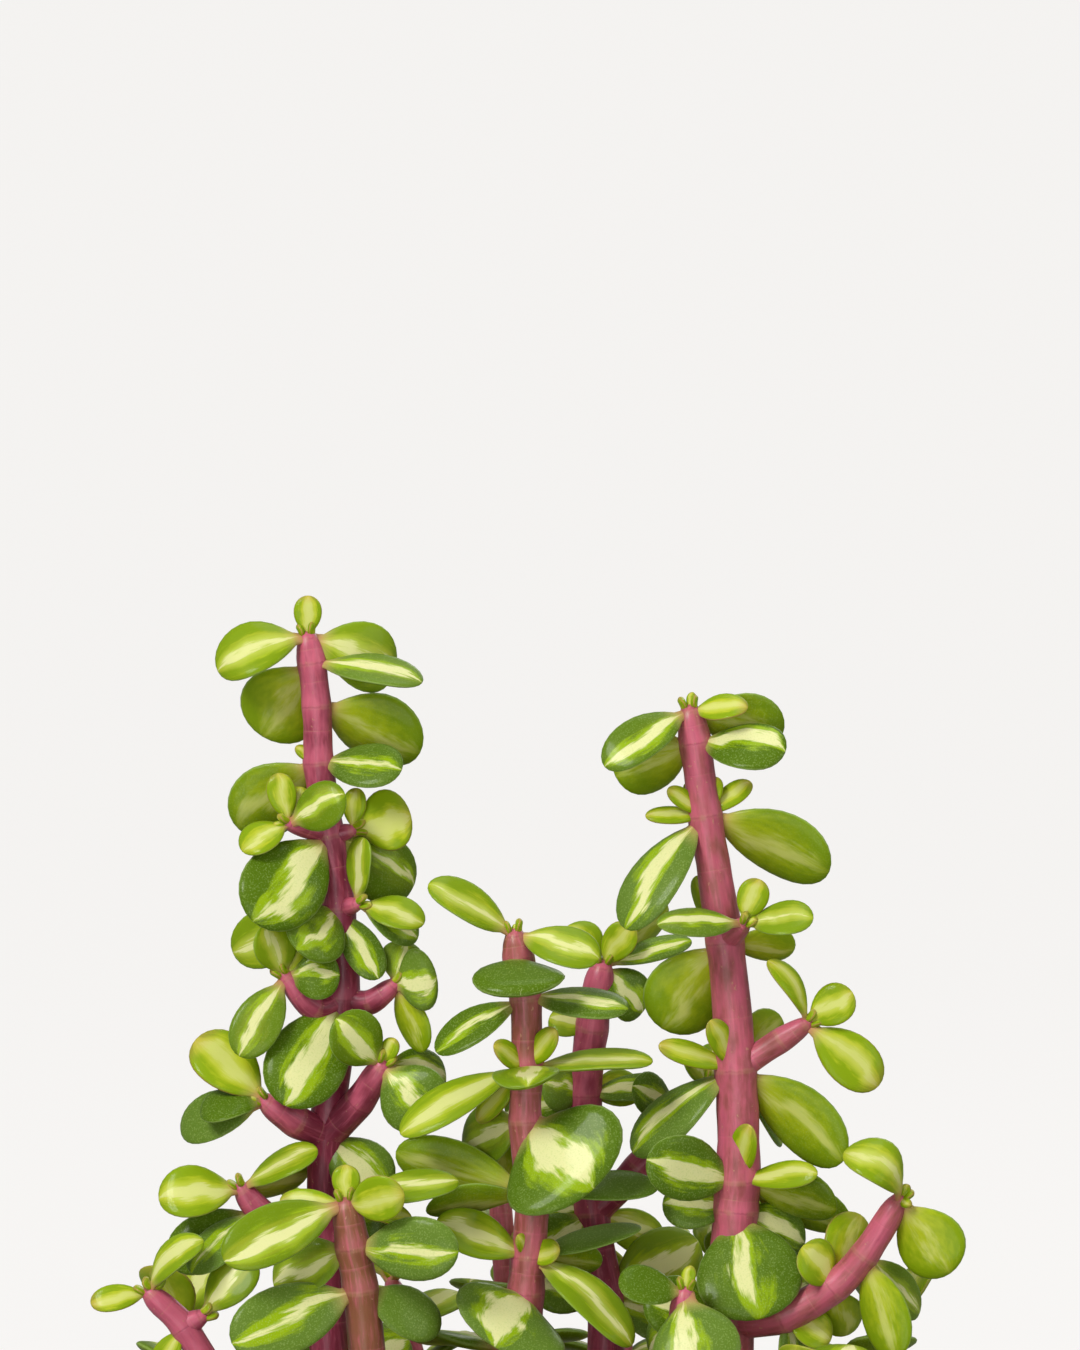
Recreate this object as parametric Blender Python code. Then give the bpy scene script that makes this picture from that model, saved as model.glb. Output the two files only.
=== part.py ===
"""Variegated elephant bush (a fleshy-leaved succulent) growing in a plain round pot.

Upright fleshy stems stand in plain holes in the soil, and carry opposite pairs of thick, paddle-shaped
leaves at their joints. Each leafy stem, with its side branches, is one solid. Numbers are millimetres, +Z is
up, and the origin is the middle of the pot's underside. The bush is seen from the front, along +Y.
"""

import math
import random

import bmesh
import bpy
from mathutils import Matrix, Vector
from mathutils.bvhtree import BVHTree

MM = 0.001
SEED = 11

# The pot, a plain turned one with a rolled rim and drain holes round the middle of its floor.
POT_HEIGHT = 92.0
POT_TOP_RADIUS = 57.0
POT_FOOT_RADIUS = 41.0
POT_WALL = 3.0
POT_FLOOR = 4.0
RIM_HEIGHT = 19.0
RIM_STEP = 3.0
EDGE_ROUND = 1.4
POT_SIDES = 28
DRAIN_HOLES = 5
DRAIN_RADIUS = 4.5
DRAIN_CIRCLE = 25.0

# The soil, which fills the pot to a little under its rim.
FIT_GAP = 0.35
SOIL_TOP = 83.0
SOIL_MOUND = 2.5
STEM_FOOT = 62.0

# The bush is set out as it looks from the front: x and z are read on the upright plane through the pot's axis,
# and a point that stands nearer lies on the same line of sight from this eye.
EYE = Vector((0.0, -1200.0, 275.0))

# Stems: a joint swells, and the stretch between two joints is waisted.
JOINT_SWELL = 1.10
WAIST = 0.95
TIP_CAP = 1.2
ROOT_SINK = 0.8

# Leaves: thickness as a share of width, with a least and a most, and the clear space kept round each blade.
LEAF_THICKNESS = 0.18
LEAF_FULLNESS = 1.06
LEAF_THIN, LEAF_THICK = 1.1, 2.4
STALK = 0.08
WIDEST = 0.62
TIP_ROUND = 2.2
WEDGE = 0.9
SMALL_LEAF = 5.0
CLEARANCE = 0.45
FREE_FROM = 0.3

# A stem's path gives x, z and how far it stands towards the front at each joint, from its foot in the soil to its
# tip. A leaf gives, from its joint to its tip: x, z and towards the front; then its width; how far its upper face
# turns to the front, in degrees, or its underside if negative; how far it arches, in degrees; and its age, from 0,
# a lime bud, to 1, an old and plain dark blade.
STEMS = {
    "left_tall": {
        "path": [(-29.5, 62, 4), (-29.5, 84, 4), (-30.5, 108, 4), (-31, 129, 4), (-31, 145, 4),
                 (-28.5, 165.5, 4),
                 (-29, 179, 4), (-30.5, 190, 4), (-32, 201, 4), (-32.3, 209.5, 4), (-33, 216, 4),
                 (-33.6, 219.7, 4)],
        "diameters": (6.8, 4.2),
        "leaves": {
            2: [(-12, 4, -4, 9, 70, 20, 0.7), (12, 6, -5, 9, 70, 20, 0.8)],
            3: [(9, 5, -6, 8, 70, 20, 0.8)],
            4: [(9, -9, 3, 9, 75, 20, 0.7)],
            5: [(-9, -16, 9, 11.5, 85, 20, 0.9)],
            6: [(-6.5, -6, 9, 10, 85, 15, 0.6), (-16, -6.5, -5, 8.5, 75, 20, 0.35),
                (-6.5, -12, 8, 7, 80, 20, 0.8),
                (6, -10.5, 4, 5.5, 75, 20, 0.75)],
            7: [(-11.5, -12.5, 8, 12, 85, 25, 0.9), (12.5, -8, -5, 10, 70, 25, 0.6)],
            8: [(12.5, -1, 6, 8, 50, 15, 0.85), (-12, -10, -4, 11, -60, 30, 0.6),
                (-3.5, 2.5, 0, 2, 60, 0, 0.1)],
            9: [(15.5, -7, -2, 11.5, -60, 35, 0.5)],
            10: [(-7.5, -11, -4, 12, -75, 25, 0.4), (16.5, -3, 6, 8, 25, 15, 0.6)],
            11: [(-13.5, -5, 2, 9, 45, 60, 0.3), (13, -5, -3, 10, 65, 25, 0.3),
                 (0, 6.5, 0, 4, 80, 5, 0.05)],
        },
        "arms": [
            {"from": 7, "path": [(-36.5, 191.8, 8)], "diameters": (3.0, 2.6), "leaves": {
                1: [(-1.8, 7.7, 0, 4.2, 80, 10, 0.1), (2, 6.5, -1, 3.5, 70, 10, 0.15),
                    (-7, -4, 2, 6, 45, 40, 0.3),
                    (8.5, 4.5, 4, 7, 75, 15, 0.5), (-4, -3, -2, 4, 50, 20, 0.25)]}},
            {"from": 7, "path": [(-27, 190.9, 5)], "diameters": (3.2, 2.8), "leaves": {
                1: [(0.7, 6.4, 0, 3.5, 80, 10, 0.2), (8.8, 2.3, 1, 9, 80, 10, 0.2)]}},
            {"from": 6, "path": [(-26.2, 179.8, 7)], "diameters": (3.2, 2.8), "leaves": {
                1: [(1, 10, 2, 6, 60, 10, 0.3), (10, -3, 3, 6, 45, 20, 0.3),
                    (9, -5.5, 1, 6, 50, 20, 0.7)]}},
            {"from": 5, "path": [(-32.5, 164, 6), (-37, 168.8, 8)], "diameters": (4.0, 3.4), "leaves": {
                2: [(-3, 8, 2, 6.5, 80, 15, 0.3), (2.5, 5, 0, 4, 75, 10, 0.1),
                    (-7, -12, 4, 7, 75, 20, 0.5),
                    (9.8, 2.8, 5, 7, 75, 15, 0.7)]}},
            {"from": 5, "path": [(-24.5, 165, 5), (-20.8, 167.5, 6)], "diameters": (3.8, 3.4), "leaves": {
                2: [(6.5, 1.5, 2, 9, 80, 20, 0.55), (4.5, -10, 0, 5.5, -60, 25, 0.3),
                    (2, 6.5, -1, 6, 70, 15, 0.55)]}},
            {"from": 4, "path": [(-35.5, 147, 7), (-40, 150, 9)], "diameters": (5.0, 4.2), "leaves": {
                2: [(-10.5, 9.5, -3, 8.5, 60, 20, 0.1), (-10, -2.5, 5, 7.5, 35, 40, 1.0),
                    (-13, -4.5, -2, 8, 55, 20, 1.0)]}},
            {"from": 4, "path": [(-26, 150, 7), (-22.5, 155.5, 10)], "diameters": (5.2, 4.2), "leaves": {
                2: [(-7, 7, 4, 8, 85, 15, 0.5), (2, 4, 1, 3, 70, 5, 0.05), (8, -8.5, 4, 10, 85, 20, 0.8),
                    (9.5, -1, -4, 7, 60, 20, 0.8)]}},
            {"from": 3, "path": [(-36, 130.5, 6), (-41, 133.5, 8),
                                 (-43.7, 136.7, 9)], "diameters": (4.8, 3.8),
             "leaves": {
                2: [(-13.5, -8, 0, 8.5, 60, 20, 1.0), (-10, -9, 4, 7, 40, 20, 0.9)],
                3: [(-12.5, -1.5, 3, 8, 60, 40, 0.25), (11.5, 6, 2, 6.5, 40, 20, 0.35),
                    (10, 2, -3, 8, -60, 20, 0.3)]}},
        ],
    },
    "left_front": {
        "path": [(-23.5, 62, 22), (-23.5, 84, 22), (-24, 101, 22.5), (-25.8, 121.5, 24), (-27, 128, 24.5),
                 (-28, 134.5, 25)],
        "diameters": (7.6, 4.8),
        "leaves": {
            2: [(-13, 3, 4, 9, 60, 20, 0.5), (18, 2, 3, 7, 30, 15, 0.6)],
            3: [(-19.5, -8, 7, 10, 75, 20, 0.8), (12, -6, -2, 8, 60, 20, 1.0)],
            4: [(-12, -6, -1, 9, 65, 25, 0.45), (16, -0.5, 6, 9, 75, 15, 0.85)],
            5: [(-18.5, -8.5, 8, 8.5, 60, 25, 0.45), (-10, 0.5, -2, 3.5, 60, 20, 0.15),
                (8.8, 1.5, 5, 6.5, 80, 20, 0.15),
                (0, 6, -1, 4, 80, 10, 0.05), (17, 3.5, -3, 7, 25, 10, 0.4), (10, -3, 2, 4, 50, 20, 0.15)],
        },
    },
    "left_low": {
        "path": [(-37, 62, 12), (-37, 84, 12), (-41, 97, 13), (-47, 107, 14), (-52.5, 116, 15),
                 (-57.5, 121, 16)],
        "diameters": (4.9, 4.0),
        "leaves": {
            4: [(-4, -7, 0, 4, 60, 10, 0.1)],
            5: [(-9, -1.5, 1, 4, 60, 20, 0.1), (8.1, 8, 2, 6.5, 35, 60, 0.3),
                (2, 3, 0, 2.5, 60, 10, 0.3)],
        },
        "arms": [
            {"from": 4, "path": [(-49.8, 117.5, 15.5)], "diameters": (3.8, 3.5), "leaves": {
                1: [(8, 8.5, 1, 7, 60, 20, 0.4)]}},
        ],
    },
    "centre": {
        "path": [(-1, 62, 15), (-1, 84, 15), (-1, 104, 15), (-1, 121, 15), (-0.5, 126.5, 15),
                 (0, 136, 15),
                 (-1, 147, 15), (-0.8, 155, 15), (-1, 165.5, 15), (-2, 171.5, 15), (-2.6, 175, 15)],
        "diameters": (6.4, 4.5),
        "leaves": {
            3: [(-4.5, -8.2, 12, 17, 88, 12, 0.8)],
            4: [(-14, 5.2, 4, 7, 55, 15, 0.35), (15.5, -13.5, 7, 7, 40, 45, 0.35),
                (4.7, 1, 4, 4, 60, 10, 0.1),
                (-1.7, 3.3, 3, 2.5, 60, 10, 0.1), (17, 4.5, 0, 5.5, 35, 10, 1.0),
                (11, -1.5, -2, 6, -60, 15, 0.6)],
            5: [(-16, -2.5, 1, 7, -40, 15, 0.6), (19, 1, 2, 6, 30, 15, 1.0),
                (-20.5, 6.5, -3, 8, -75, 15, 0.5)],
            6: [(10, -10.5, 10, 19.5, 88, 12, 0.85), (-9.5, -4, -6, 9, 70, 20, 0.5)],
            7: [(-19, -10, 4, 7, 35, 25, 0.3), (19, 1, 3, 7, 20, 10, 0.35), (-5, 3.4, 5, 4, 60, 10, 0.02),
                (4.5, 5.8, 4, 4, 60, 10, 0.02), (0, -2.5, 9, 9.5, 60, 10, 0.35),
                (-7.5, -8, -3, 4, 60, 15, 0.1)],
            8: [(-13.5, -8, 1, 6.5, 40, 15, 0.8), (15.5, -1.5, 3, 8, 35, 15, 0.95)],
            9: [(0, -5.5, 10.5, 13, 88, 10, 1.0)],
            10: [(-13, 7.8, 2, 7.5, 50, 20, 0.3), (12.7, -3.6, 4, 7.5, 50, 20, 0.4),
                 (0.5, 1.8, 0, 1.5, 60, 0, 0.1)],
        },
    },
    "centre_back": {
        "path": [(11, 62, -6), (11, 84, -6), (11, 103, -6), (11, 120, -7), (9, 133, -8), (8, 151, -8),
                 (9, 161, -7),
                 (10.5, 170.3, -6)],
        "diameters": (6.6, 4.8),
        "leaves": {
            3: [(14, 9, -2, 10, 70, 15, 0.45), (-11, 4, 1, 9, 70, 15, 0.6), (13, -4, 2, 9, 60, 15, 0.7)],
            4: [(11, -5, -1, 6.5, 70, 20, 0.3), (-9, 3, 1, 8, 70, 15, 0.7), (-10, -7, 2, 8, 60, 20, 0.7)],
            5: [(-12, -3, 0, 8, 70, 20, 0.6), (8.5, 1.5, -3, 6, 60, 15, 0.2),
                (12, 1.5, 1, 5.5, 40, 10, 0.8), (-6.5, 2, 1, 7, 75, 15, 0.6)],
            6: [(-6.5, 1.5, -1, 5, 60, 15, 0.3)],
            7: [(4.5, 6.5, 1, 5, 70, 10, 0.15), (-5.5, 6, -2, 7, 60, 30, 0.3),
                (10, 9, -2, 8, -60, 20, 0.3),
                (13.5, 4, -3, 4, 50, 15, 0.9), (6, -7, -2, 8, 65, 20, 0.6)],
        },
        "arms": [
            {"from": 4, "path": [(16, 140, -7), (22, 148, -6),
                                 (26, 152.5, -5)], "diameters": (4.8, 3.8), "leaves": {
                2: [(-7, 5, 1, 7, 60, 15, 0.7)],
                3: [(3, 6, -2, 6, 60, 20, 0.4), (-3, 6, 0, 5, 60, 20, 0.3)]}},
        ],
    },
    "right_tall": {
        "path": [(30, 62, 12), (30, 84, 12), (30, 103, 12), (29.8, 117, 12), (30.6, 133.5, 12),
                 (31, 138, 12),
                 (30.7, 154.8, 12), (29, 174, 12), (26, 193, 12), (24.5, 204, 12), (23.7, 208.7, 12)],
        "diameters": (9.0, 4.6),
        "leaves": {
            3: [(-13, 3, 2, 9, 75, 15, 0.8), (-12, -6, 4, 10, 70, 20, 0.8), (13, 5, -5, 9, 70, 20, 0.6)],
            4: [(10.5, -5, -3, 8, 60, 20, 0.6), (3.5, -16.5, 9, 15, 88, 12, 0.95),
                (-11, 1, 0, 7, 60, 20, 0.8)],
            5: [(-13.8, 3.2, 9, 9.2, 75, 15, 0.8), (1.8, 8.5, 5, 4.5, 75, 10, 0.05),
                (12, 1, 8, 4.5, 50, 15, 0.2),
                (15, -4.5, 6, 8, -60, 25, 0.7), (17, -8.5, 2, 7.5, -50, 20, 0.6)],
            6: [(16, -14, 2, 10, -60, 35, 0.55), (-15.5, -13, 2, 8.5, 40, 20, 0.9),
                (-11.7, 3.7, 3, 3.8, 60, 10, 0.05),
                (-4, 7.6, 3, 4, 70, 10, 0.15), (7, -11.5, -8, 5, 50, 15, 0.95),
                (7, 7.5, -5, 7.5, -70, 20, 0.35)],
            7: [(10.5, -1, -3, 6.5, -50, 15, 0.3), (-4.5, 10, -3, 5, -70, 15, 0.3),
                (-9.5, -13, -3, 12, -80, 15, 0.5)],
            8: [(18.7, -8.3, 1, 11, -65, 35, 0.5), (-12, -17, 5, 8.5, 50, 25, 0.75),
                (-9, 0, 2, 3.3, 50, 10, 0.12),
                (-5.7, 4.2, 1, 3, 60, 10, 0.12), (-2.7, 4.8, 2, 2.5, 60, 5, 0.12),
                (1.8, 6, -1, 3, 70, 10, 0.12),
                (7, 5, 1, 3.5, 60, 10, 0.12)],
            9: [(-12, -5, -1, 10, -70, 25, 0.45), (13.5, -1.5, 6, 9, 42, 15, 0.9)],
            10: [(-12.8, -8.3, 6, 7, 60, 40, 0.55), (8.7, 0.6, 3, 5, 50, 15, 0.08),
                 (0.4, 3, 0, 1.5, 60, 0, 0.1),
                 (14, -3.5, -2, 9, -60, 25, 0.6)],
        },
        "arms": [
            {"from": 7, "path": [(31.8, 176.8, 17)], "diameters": (3.8, 3.2), "leaves": {
                1: [(2.3, 6.8, 0, 4.5, 80, 10, 0.1), (10.5, 0.8, 3, 6.5, 50, 15, 0.4),
                    (-13, 0, 4, 6, 45, 15, 0.6)]}},
            {"from": 6, "path": [(37.5, 159.3, 13),
                                 (41.2, 161.7, 14)], "diameters": (4.1, 3.4), "leaves": {
                2: [(-5.8, 9.6, 1, 4.5, 45, 60, 0.15), (7, 4.8, 1, 6, 75, 10, 0.15),
                    (11, -9.3, 1, 7.5, 70, 25, 0.2)]}},
            {"from": 3, "path": [(38, 117.8, 16), (45.4, 122, 18), (50, 126.8, 19), (55.2, 135, 20)],
             "diameters": (6.0, 3.8), "leaves": {
                1: [(2, -9, -2, 7, 60, 20, 0.7), (7, -4, 0, 6, 60, 15, 0.2)],
                2: [(4, 11, -5, 7.5, -70, 20, 0.2), (-5, 7, -5, 7, 60, 15, 0.2),
                    (2, -8, -3, 6.5, -60, 15, 0.2)],
                3: [(5, -15.5, 3, 7.5, -75, 15, 0.35), (8.5, -9.5, -3, 6, 65, 20, 0.5)],
                4: [(-8.2, 7.5, 1, 8, 50, 110, 0.3), (7.8, -11, 1, 10, -75, 15, 0.35),
                    (1.5, 2.5, 0, 1.6, 60, 0, 0.0),
                    (1.8, -0.5, 1, 1.5, 60, 0, 0.0)]}},
        ],
    },
    "right_front": {
        "path": [(20, 62, 22), (20, 84, 22), (21, 103, 23), (23, 121, 24)],
        "diameters": (5.0, 4.0),
        "leaves": {
            3: [(3, -14, 8, 12.5, 85, 15, 0.85), (-10, 1.5, 3, 7, 50, 15, 1.0),
                (1, 4.2, 0, 2.2, 75, 5, 0.15)],
        },
    },
}

# Low stems fill the back, the sides and the front under the tall ones. Each gives the x and the distance towards
# the front of its foot, then x, z and the distance towards the front of its tip, all real, and the heading of its
# first pair of leaves in degrees.
LOW_STEMS = {
    "back_left": ((-24.0, -22.0), (-33.0, 126.0, -31.0), 20.0),
    "back_middle": ((-3.0, -30.0), (-5.0, 132.0, -37.0), 75.0),
    "back_right": ((24.0, -23.0), (33.0, 127.0, -31.0), 10.0),
    "back_far_left": ((-16.0, -39.0), (-22.0, 116.0, -52.0), 50.0),
    "back_far_right": ((12.0, -41.0), (16.0, 117.0, -54.0), 100.0),
    "side_left": ((-41.0, -8.0), (-53.0, 114.0, -12.0), 60.0),
    "side_right": ((42.0, -6.0), (54.0, 115.0, -10.0), 30.0),
    "front_left": ((-13.0, 37.0), (-18.0, 110.0, 47.0), 45.0),
    "front_right": ((10.0, 38.0), (13.0, 109.0, 48.0), 0.0),
    "front_far_right": ((34.0, 28.0), (42.0, 109.0, 36.0), 70.0),
}
LOW_JOINT_STEP = 7.5
LOW_DIAMETERS = (4.8, 3.5)
LOW_LEAF_LENGTH = 16.0
LOW_LEAF_SHAPE = 0.8
LOW_LEAF_RISE = (-15.0, 45.0)

# Heights up to the collar are real ones, because the stem stands upright in its hole there.
COLLAR = 84.0
STEM_SIDES_STEP = 1
NECK = 0.95


def seen_point(x, z, towards):
    """The real point that is seen at x and z on the pot's plane, and stands this far to the front of it."""
    return EYE + (Vector((x, 0.0, z)) - EYE) * (1 + towards / EYE.y)


def path_points(path):
    """The real points of a path, upright up to the collar."""
    points = []
    for x, z, towards in path:
        point = seen_point(x, z, towards)
        if z <= COLLAR:
            point.z = z
        points.append(point)
    return points


def with_radii(points, diameters):
    """The joints with their radii, and a waist midway between two joints that stand well apart."""
    lengths = [0.0]
    for start, end in zip(points, points[1:]):
        lengths.append(lengths[-1] + (end - start).length)
    first, last = diameters

    def radius(length, factor):
        share = length / lengths[-1]
        return (first + (last - first) * share) / 2 * factor

    axis = []
    for index, point in enumerate(points):
        axis.append((point, radius(lengths[index], JOINT_SWELL)))
        if index + 1 < len(points) and lengths[index + 1] - lengths[index] > 7 and point.z > STEM_FOOT:
            middle = (lengths[index] + lengths[index + 1]) / 2
            axis.append(((point + points[index + 1]) / 2, radius(middle, WAIST)))
    end, end_radius = axis[-1]
    axis.append((end + (end - points[-2]).normalized() * TIP_CAP, end_radius * 0.6))
    return axis


def leaf_normal(root, tip, turn):
    """The way the upper face looks: up, square to the leaf, then turned to the front or, if negative, the back."""
    along = (tip - root).normalized()
    front = Vector((0.0, -1.0, 0.0))
    front -= along * along.dot(front)
    up = Vector((0.0, 0.0, 1.0))
    up -= along * along.dot(up)
    if up.length < 0.1:
        return front.normalized()
    angle = up.angle(front)
    sense = 1 if along.dot(up.cross(front)) > 0 else -1
    swing = angle * turn / 90 if turn >= 0 else (math.pi - angle) * turn / 90
    return (Matrix.Rotation(sense * swing, 3, along) @ up).normalized()


def outline(along):
    """Half the blade's width, as a share: a short stalk, a wedge to the widest place, then a broad round tip."""
    if along > WIDEST:
        return max(0.0, 1 - ((along - WIDEST) / (1 - WIDEST)) ** TIP_ROUND) ** 0.5
    share = min(1.0, (WIDEST - along) / (WIDEST - STALK))
    return (1 - share**2) ** WEDGE


def make_leaf(root, tip, width, turn, arch, age, low=False):
    return {"root": root, "tip": tip, "width": width, "turn": turn, "arch": arch, "age": age, "low": low,
            "normal": leaf_normal(root, tip, turn)}


def leaf_rings(leaf, stations, extra):
    """Rings of four points round the leaf at these shares of its length: side, top, side, underside."""
    axis = leaf["tip"] - leaf["root"]
    normal = leaf["normal"]
    side = axis.cross(normal).normalized()
    bulge = axis.length * math.tan(math.radians(leaf["arch"]) / 2) / 4
    thick = min(LEAF_THICK, max(LEAF_THIN, leaf["width"] * LEAF_THICKNESS)) / 2
    rings = []
    for along in stations:
        middle = leaf["root"] + axis * along + normal * (bulge * 4 * along * (1 - along))
        half = max(min(NECK, leaf["width"] / 4), leaf["width"] / 2 * outline(along)) + extra
        deep = max(min(0.6, thick), thick * min(1.0, 0.62 + outline(along) / 2)) + extra
        wide, high = side * half, normal * deep
        rings.append([middle + wide, middle + high, middle - wide, middle - high])
    return rings


def tube_faces(count):
    """The triangles between rings of four points, with both ends closed by one point each."""
    faces = []
    for ring in range(count - 1):
        for corner in range(4):
            a = ring * 4 + corner
            b = ring * 4 + (corner + 1) % 4
            faces += [(a, b, b + 4), (a, b + 4, a + 4)]
    start, end = count * 4, count * 4 + 1
    for corner in range(4):
        beyond = (corner + 1) % 4
        faces.append((start, beyond, corner))
        faces.append((end, (count - 1) * 4 + corner, (count - 1) * 4 + beyond))
    return faces


def leaf_surface(leaf, stations, extra):
    """The points and triangles of a closed leaf, or of its outer part."""
    rings = leaf_rings(leaf, stations[1:-1], extra)
    axis = leaf["tip"] - leaf["root"]
    first = leaf["root"] - axis.normalized() * ROOT_SINK
    if stations[0] > 0:
        first = sum(rings[0], Vector()) / 4
    last = leaf["root"] + axis + axis.normalized() * extra
    points = [point for ring in rings for point in ring] + [first, last]
    return points, tube_faces(len(rings))


LEAF_STATIONS = (0.0, 0.14, 0.32, 0.57, 0.82, 0.96, 1.0)
SMALL_STATIONS = (0.0, 0.3, 0.62, 0.93, 1.0)
LOW_STATIONS = (0.0, 0.16, 0.58, 0.93, 1.0)
OUTER_STATIONS = (FREE_FROM, FREE_FROM, 0.57, 0.82, 0.96, 1.0)


def stations_of(leaf):
    if leaf["width"] < SMALL_LEAF:
        return SMALL_STATIONS
    return LOW_STATIONS if leaf["low"] else LEAF_STATIONS


def tree_of(points, faces):
    return BVHTree.FromPolygons([tuple(point) for point in points], faces)


def axis_surface(axis, extra):
    """A square tube round a stem, which is enough to keep leaves off it."""
    points = []
    for index, (middle, radius) in enumerate(axis):
        before = axis[max(0, index - 1)][0]
        after = axis[min(len(axis) - 1, index + 1)][0]
        along = (after - before).normalized()
        side = along.cross(Vector((0.0, 1.0, 0.03))).normalized()
        other = along.cross(side)
        side *= radius * 1.2 + extra
        other *= radius * 1.2 + extra
        points += [middle + side, middle + other, middle - side, middle - other]
    points += [axis[0][0], axis[-1][0] + (axis[-1][0] - axis[-2][0]).normalized() * extra]
    return points, tube_faces(len(axis))


def offsets():
    """Moves to try for a crowded leaf's tip, as shares of its length: in depth first, then up and aside."""
    for aside, lift in ((0, 0), (0, 0.15), (0, -0.15), (0.15, 0), (-0.15, 0), (0.15, 0.25), (-0.15, -0.25)):
        for depth in (0, 0.15, -0.15, 0.3, -0.3, 0.45, -0.45, 0.6, -0.6, 0.8, -0.8):
            yield Vector((aside, depth, lift))


def near_pot(point):
    """Whether a point is too near the soil or the pot's rim."""
    over_wall = point.xy.length > inside_radius(SOIL_TOP) - 2
    return point.z < (POT_HEIGHT + 0.6 if over_wall else SOIL_TOP + 2.5)


class Bush:
    """Every stem and leaf, with what is needed to keep them off each other."""

    def __init__(self):
        self.stems = {}
        self.axes = []
        self.leaves = []
        self.left_out = []

    def add_axis(self, name, axis):
        """A stem or a side branch: its points with their radii."""
        self.stems.setdefault(name, {"axes": [], "leaves": []})["axes"].append(axis)
        self.axes.append((name, axis, tree_of(*axis_surface(axis, CLEARANCE / 2))))

    def is_free(self, name, axis, leaf):
        points, faces = leaf_surface(leaf, stations_of(leaf), CLEARANCE / 2)
        if any(near_pot(point) for point in points[4:-2]):
            return None
        whole = tree_of(points, faces)
        outer = tree_of(*leaf_surface(leaf, OUTER_STATIONS, CLEARANCE / 2))
        for other_name, other_axis, tree in self.axes:
            mine = outer if other_name == name else whole
            if other_axis is not axis and mine.overlap(tree):
                return None
        middle, reach = (leaf["root"] + leaf["tip"]) / 2, (leaf["tip"] - leaf["root"]).length
        for other_name, other, other_whole, other_outer in self.leaves:
            apart = ((other["root"] + other["tip"]) / 2 - middle).length
            if apart > (reach + (other["tip"] - other["root"]).length) * 0.75:
                continue
            pair = (outer, other_outer) if other_name == name else (whole, other_whole)
            if pair[0].overlap(pair[1]):
                return None
        return whole, outer

    def add_leaf(self, name, axis, leaf):
        """Adds the leaf where it is asked for, or bent clear of what stands there, or a little smaller."""
        for size in (1.0, 0.85, 0.7):
            for offset in offsets():
                span = (leaf["tip"] - leaf["root"]) * size
                tip = leaf["root"] + span + offset * span.length
                rest = (leaf["turn"], leaf["arch"], leaf["age"], leaf["low"])
                tried = make_leaf(leaf["root"], tip, leaf["width"] * size, *rest)
                trees = self.is_free(name, axis, tried)
                if trees:
                    self.leaves.append((name, tried, *trees))
                    self.stems[name]["leaves"].append(tried)
                    return
        self.left_out.append((name, tuple(leaf["root"]), tuple(leaf["tip"])))


def seen_leaves(bush, name, points, towards, axis, rows):
    """Adds a path's leaves, which are given as they look from the front."""
    for joint, leaves in rows.items():
        x, z, near = towards[joint]
        for along_x, along_z, nearer, width, turn, arch, age in leaves:
            tip = seen_point(x + along_x, z + along_z, near + nearer)
            bush.add_leaf(name, axis, make_leaf(points[joint], tip, width * LEAF_FULLNESS, turn, arch, age))


def set_out_stems(bush):
    """Adds the stems and side branches that the front shows, and gives back what their leaves need."""
    todo = []
    for name, stem in STEMS.items():
        points = path_points(stem["path"])
        axis = with_radii(points, stem["diameters"])
        bush.add_axis(name, axis)
        todo.append((name, points, stem["path"], axis, stem["leaves"]))
        for arm in stem.get("arms", []):
            path = [stem["path"][arm["from"]]] + arm["path"]
            points_of_arm = path_points(path)
            axis_of_arm = with_radii(points_of_arm, arm["diameters"])
            bush.add_axis(name, axis_of_arm)
            todo.append((name, points_of_arm, path, axis_of_arm, arm["leaves"]))
    return todo


def low_points(foot, tip):
    """The joints of a low stem: upright to the collar, then a curve out to its tip."""
    start = Vector((foot[0], -foot[1], STEM_FOOT))
    collar = Vector((foot[0], -foot[1], POT_HEIGHT))
    end = Vector((tip[0], -tip[2], tip[1]))
    count = max(2, round((end - collar).length / LOW_JOINT_STEP))
    points = [start, collar]
    for step in range(1, count + 1):
        share = step / count
        point = collar.lerp(end, share)
        point += (Vector((foot[0], -foot[1], point.z)) - point) * 0.5 * (1 - share)
        points.append(point)
    return points


def low_leaves(bush, name, points, axis, heading, draw):
    """Adds opposite pairs, each turned a quarter from the pair below, young and steep at the tip."""
    for joint in range(2, len(points)):
        share = (joint - 1) / (len(points) - 2)
        for half_turn in (0, 180):
            angle = math.radians(heading + 90 * joint + half_turn + draw.uniform(-14, 14))
            steep = LOW_LEAF_RISE[0] + (LOW_LEAF_RISE[1] - LOW_LEAF_RISE[0]) * share
            rise = math.radians(steep + draw.uniform(-12, 12))
            length = LOW_LEAF_LENGTH * (1.05 - 0.3 * share) * draw.uniform(0.88, 1.1)
            flat = math.cos(rise)
            along = Vector((math.cos(angle) * flat, math.sin(angle) * flat, math.sin(rise)))
            width = length * LOW_LEAF_SHAPE * draw.uniform(0.85, 1.08)
            age = min(0.95, max(0.1, 0.95 - 0.65 * share + draw.uniform(-0.15, 0.15)))
            arch = draw.uniform(8, 26)
            root = points[joint]
            bush.add_leaf(name, axis, make_leaf(root, root + along * length, width, 0.0, arch, age, True))
    bud = points[-1] + (points[-1] - points[-2]).normalized() * 4.5
    bush.add_leaf(name, axis, make_leaf(points[-1], bud, 2.4, 30.0, 5.0, 0.05))


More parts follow.
